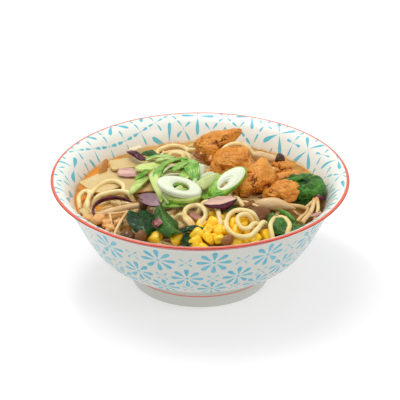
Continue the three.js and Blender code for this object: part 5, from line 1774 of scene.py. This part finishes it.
def rested(route, radius, climb, strand_tops, dive=True):
    """The axis of a strand over a route: on the heap, on the toppings and on earlier strands.

    A height under the mean of its two neighbours less SAG rises to it, over and over, as a strand that is
    too stiff to follow a hollow spans it. No height is more than climb over the heap before that.
    """
    plan = spaced(smooth_line([(x, y, 0) for x, y in route], 200), STRAND_STEP)
    ground = heap_top(plan[:, 0], plan[:, 1])
    z = np.maximum(ground + radius + GAP, near(tops, plan, np.max) + radius + GAP)
    z = np.maximum(z, near(strand_tops, plan, np.max) + 0.8 * radius)
    z = np.minimum(z, ground + climb)
    if dive:
        z[0], z[-1] = ground[0] - radius, ground[-1] - radius
    for _ in range(260):
        z[1:-1] = np.maximum(z[1:-1], 0.5 * (z[:-2] + z[2:]) - SAG)
    plan[:, 2] = softened(z, 12)
    return plan


print("strands are laid in steps of", STRAND_STEP, "mm")

# %% [markdown]
# ### The noodles on top
#
# The noodles that show one by one are laid in order, each over those before it. Thin sprouts lie among
# them at both sides, in the same form and a browner paint, as only thickness and colour differ.



# %% Noodle paint
def noodle_material(name, light, deep, oil_amount):
    """Cream, a little translucent, glossy with broth, and stained with oil in patches."""
    paint = Paint(name)
    cloud = paint.clouds(14.0, 3.0)
    fine = paint.clouds(3.0, 2.0, shift=3.0)
    body = paint.mix(cloud.above(0.3, 0.7), light, deep)
    stain = paint.clouds(9.0, 3.0, shift=8.0).above(0.66 - oil_amount, 0.8 - oil_amount)
    body = paint.mix(stain * 0.6, body, rgb(226, 148, 58))
    return paint.finish(
        Base_Color=body, Roughness=0.22 + 0.15 * fine, Specular_IOR_Level=0.3, Coat_Weight=0.22,
        Coat_Roughness=0.07, Subsurface_Weight=0.2, Subsurface_Radius=(0.002, 0.0015, 0.001),
        Normal=paint.bump(fine, 0.15))


noodle_paint = noodle_material("noodle_skin", rgb(246, 228, 170), rgb(230, 202, 130), 0.06)
sprout_paint = noodle_material("sprout_skin", rgb(236, 204, 146), rgb(220, 178, 112), 0.14)
# the bed's noodles are darker: soaked with broth, and painted shade under the noodles and toppings on top
soaked_shaded_paint = noodle_material("soaked_shaded_noodle_skin", rgb(226, 200, 144), rgb(206, 170, 108), 0.1)
print("noodle paints mixed")

# %% The noodles on top
NOODLE_RADIUS = 1.7
# per noodle: its route seen from above, and how far it may climb over the heap
NOODLES = [
    ([(-78, -27), (-78, -12), (-73, 2), (-66, 9), (-59, 8), (-54, 0), (-54, -10)], 6),
    ([(-84, -16), (-85, -8), (-82, -2), (-78, -3), (-78, -14), (-81, -20)], 6),
    ([(-76, -16), (-68, -10), (-56, -8), (-46, -14)], 6),
    ([(-32, 57), (-30, 69), (-22, 77), (-13, 75), (-7, 64)], 6),
    ([(-30, 51), (-25, 61), (-16, 64), (-9, 57), (-7, 47)], 6),
    ([(-25, 47), (-19, 52), (-12, 50), (-14, 42)], 6),
    ([(-8, 82), (-2, 77), (3, 67)], 6),
    ([(-11, 66), (-4, 62), (2, 69), (4, 78)], 6),
    ([(-4, -60), (-10, -50), (-10, -38), (-4, -33), (2, -37), (4, -46), (-1, -56)], 6),
    ([(-18, -40), (-12, -44), (-7, -52), (-3, -60)], 6),
    ([(-2, -36), (5, -34), (11, -40), (13, -50), (14, -61)], 9),
    ([(41, -46), (32, -42), (24, -43), (19, -50), (18, -61), (22, -70), (28, -73), (34, -71), (39, -63),
      (43, -54), (48, -50)], 8),
    ([(38, -50), (32, -47), (26, -50), (26, -57), (29, -64), (33, -64), (36, -59), (42, -53)], 9),
    ([(50, -69), (48, -58), (51, -48), (55, -42)], 8),
    ([(49, -49), (55, -47), (60, -52), (61, -60), (58, -68)], 9),
    ([(22, -18), (26, -23), (29, -31), (34, -30)], 6),
]
# per sprout: its route and its radius
SPROUTS = [
    ([(-69, -35), (-60, -38), (-50, -37)], 0.9), ([(-50, -38), (-54, -47), (-59, -60)], 1.1),
    ([(-63, -34), (-61, -46), (-60, -57)], 0.9), ([(52, -25), (60, -27), (68, -26), (75, -21)], 1.3),
    ([(80, -15), (77, -30), (70, -49)], 1.6), ([(82, -14), (82, -26), (79, -38)], 1.3),
    ([(76, -18), (73, -32), (67, -47)], 1.2), ([(83, -10), (80, -16), (74, -20)], 1.4),
    ([(28, -31), (31, -27), (36, -30), (42, -33)], 0.9), ([(24, -20), (30, -27), (38, -30)], 0.8),
    ([(-77, -30), (-72, -36), (-64, -33)], 0.9), ([(-80, -5), (-74, 3), (-72, 10)], 0.8),
]
SPROUT_CLIMB = 6
strand_tops = np.full((CELLS, CELLS), FAR_BELOW)
named, sprouts = [], []
for k, (route, climb) in enumerate(NOODLES):
    grid = strand(rested(route, NOODLE_RADIUS, climb, strand_tops), NOODLE_RADIUS, k, sides=18)
    np.maximum.at(strand_tops, squares(grid), grid[..., 2])
    named.append(welded(grid))
for k, (route, radius) in enumerate(SPROUTS):
    resting = rested(route, radius, SPROUT_CLIMB, strand_tops, dive=False)
    sprouts.append(welded(strand(resting, radius, k + 50, sides=12)))
piece("noodles_on_top", together(named), noodle_paint, "noodles", "noodle_heap")
piece("sprouts", together(sprouts), sprout_paint, "noodles", "noodle_heap")
print("noodles on top:", len(named), "and", len(sprouts), "sprouts")

# %% The noodle over the chicken
BRIDGE_ROUTE = [(14.5, 38, 77.5), (19, 42, 80.5), (26, 44, 81.8), (33, 43, 80), (39, 39, 75)]
bridge = welded(strand(smooth_line(BRIDGE_ROUTE, 60), NOODLE_RADIUS, 90, sides=18))
piece("bridge_noodle", bridge, noodle_paint, "noodles", "noodle_on_chicken")
print("bridge noodle:", len(bridge.faces), "faces")

# %% [markdown]
# ### The bed of noodles
#
# Under the named noodles the heap is a tangle. Its strands could be laid by hand too, but no one tells
# them apart, so their lines are drawn at random, from a fixed seed, so that each run gives the same
# tangle. Most of them lie at the back and at the left, where noodles show between the toppings.


# %% Lines for the bed
BED_NOODLES, BED_REACH = 170, 77
WANDER_WAVES = (38, 21)  # millimetres
# strands whose middle lies in front of BED_FRONT and right of BED_LEFT are hidden by toppings; most of
# them are shrunk towards BED_BACK, where noodles show
BED_FRONT, BED_LEFT, BED_MOVED = 15, -45, 0.72
BED_SHRINK, BED_BACK = 0.3, (-18, 42)


def wandering(rng, length):
    """A line seen from above whose heading turns slowly by a sum of sines; it is kept within the heap."""
    steps = int(length / STRAND_STEP)
    travelled = np.linspace(0, length, steps)
    heading = rng.uniform(0, 2 * math.pi) + rng.uniform(-0.02, 0.02) * travelled
    for wave in WANDER_WAVES:
        swing, phase = rng.uniform(0.3, 1.1), rng.uniform(0, 6.3)
        heading = heading + swing * np.sin(2 * math.pi * travelled / wave + phase)
    line = np.cumsum(np.stack([np.cos(heading), np.sin(heading)], -1) * STRAND_STEP, axis=0)
    centre = rng.uniform(0, 2 * math.pi)
    radius = (BED_REACH - 1) * math.sqrt(rng.uniform(0, 1))
    line = line - line.mean(0) + radius * np.array([math.cos(centre), math.sin(centre)])
    hidden = line[:, 1].mean() < BED_FRONT and line[:, 0].mean() > BED_LEFT
    if hidden and rng.uniform() < BED_MOVED:
        line = line * BED_SHRINK + BED_BACK
    reach = np.hypot(line[:, 0], line[:, 1])
    return line * (np.minimum(reach, BED_REACH) / reach)[:, None]


print("lines for", BED_NOODLES, "noodles")

# %% The bed
rng = np.random.default_rng(12)
bed = []
for k in range(BED_NOODLES):
    line = wandering(rng, rng.uniform(45, 110))
    plan = np.concatenate([line, np.zeros((len(line), 1))], 1)
    ground = heap_top(line[:, 0], line[:, 1])
    z = ground + rng.uniform(-0.9, 0.7) + 0.7 * np.sin(np.linspace(0, 9, len(line)) + rng.uniform(0, 6))
    z = np.minimum(z, near(ceiling, plan, np.min) - NOODLE_RADIUS - GAP)
    for _ in range(40):
        z[1:-1] = np.minimum(z[1:-1], 0.5 * (z[:-2] + z[2:]) + 0.03)
    z[0], z[-1] = ground[0] - 3, ground[-1] - 3
    plan[:, 2] = softened(z, 8)
    bed.append(welded(strand(plan, NOODLE_RADIUS * rng.uniform(0.9, 1.05), k + 200, sides=10, step=1.3)))
piece("noodle_bed", together(bed), soaked_shaded_paint, "noodles", "noodle_heap")
print("noodles in the bed:", len(bed))

# %% [markdown]
# ### The soup between the noodles
#
# Soup stands between the strands of the heap, above the open broth. With the broth's own surface alone,
# one could look down between the noodles. So it is a body of its own: the heap's core, finely rippled.


# %% The heap's core as soup
def heap_skin():
    """Rays from the middle out to heap_edge, as high as heap_top, then down to an underside in the broth."""
    rows, sides = 90, 220
    turn = np.linspace(0, 2 * math.pi, sides + 1)[None]
    share = np.concatenate([np.linspace(0, 1, rows), [1.02, 1.0, 0.9, 0]])[:, None]
    level = np.concatenate([np.ones(rows), [0.6, 0.05, 0, 0]])[:, None]
    reach = share * heap_edge(turn)
    x, y = reach * np.cos(turn), reach * np.sin(turn)
    top = heap_top(x, y) - 0.25
    underside = BROTH_LEVEL - 11
    grid = np.stack([x, y, underside + (top - underside) * level], -1)
    grid[..., 2] += 0.35 * crumpled(grid, 5.0, 77, 3) * (level == 1)
    return welded(closed(grid))


piece("soup_in_heap", heap_skin(), soup_material("soup_between_noodles"), "noodles", "noodle_heap")
print("heap closed")
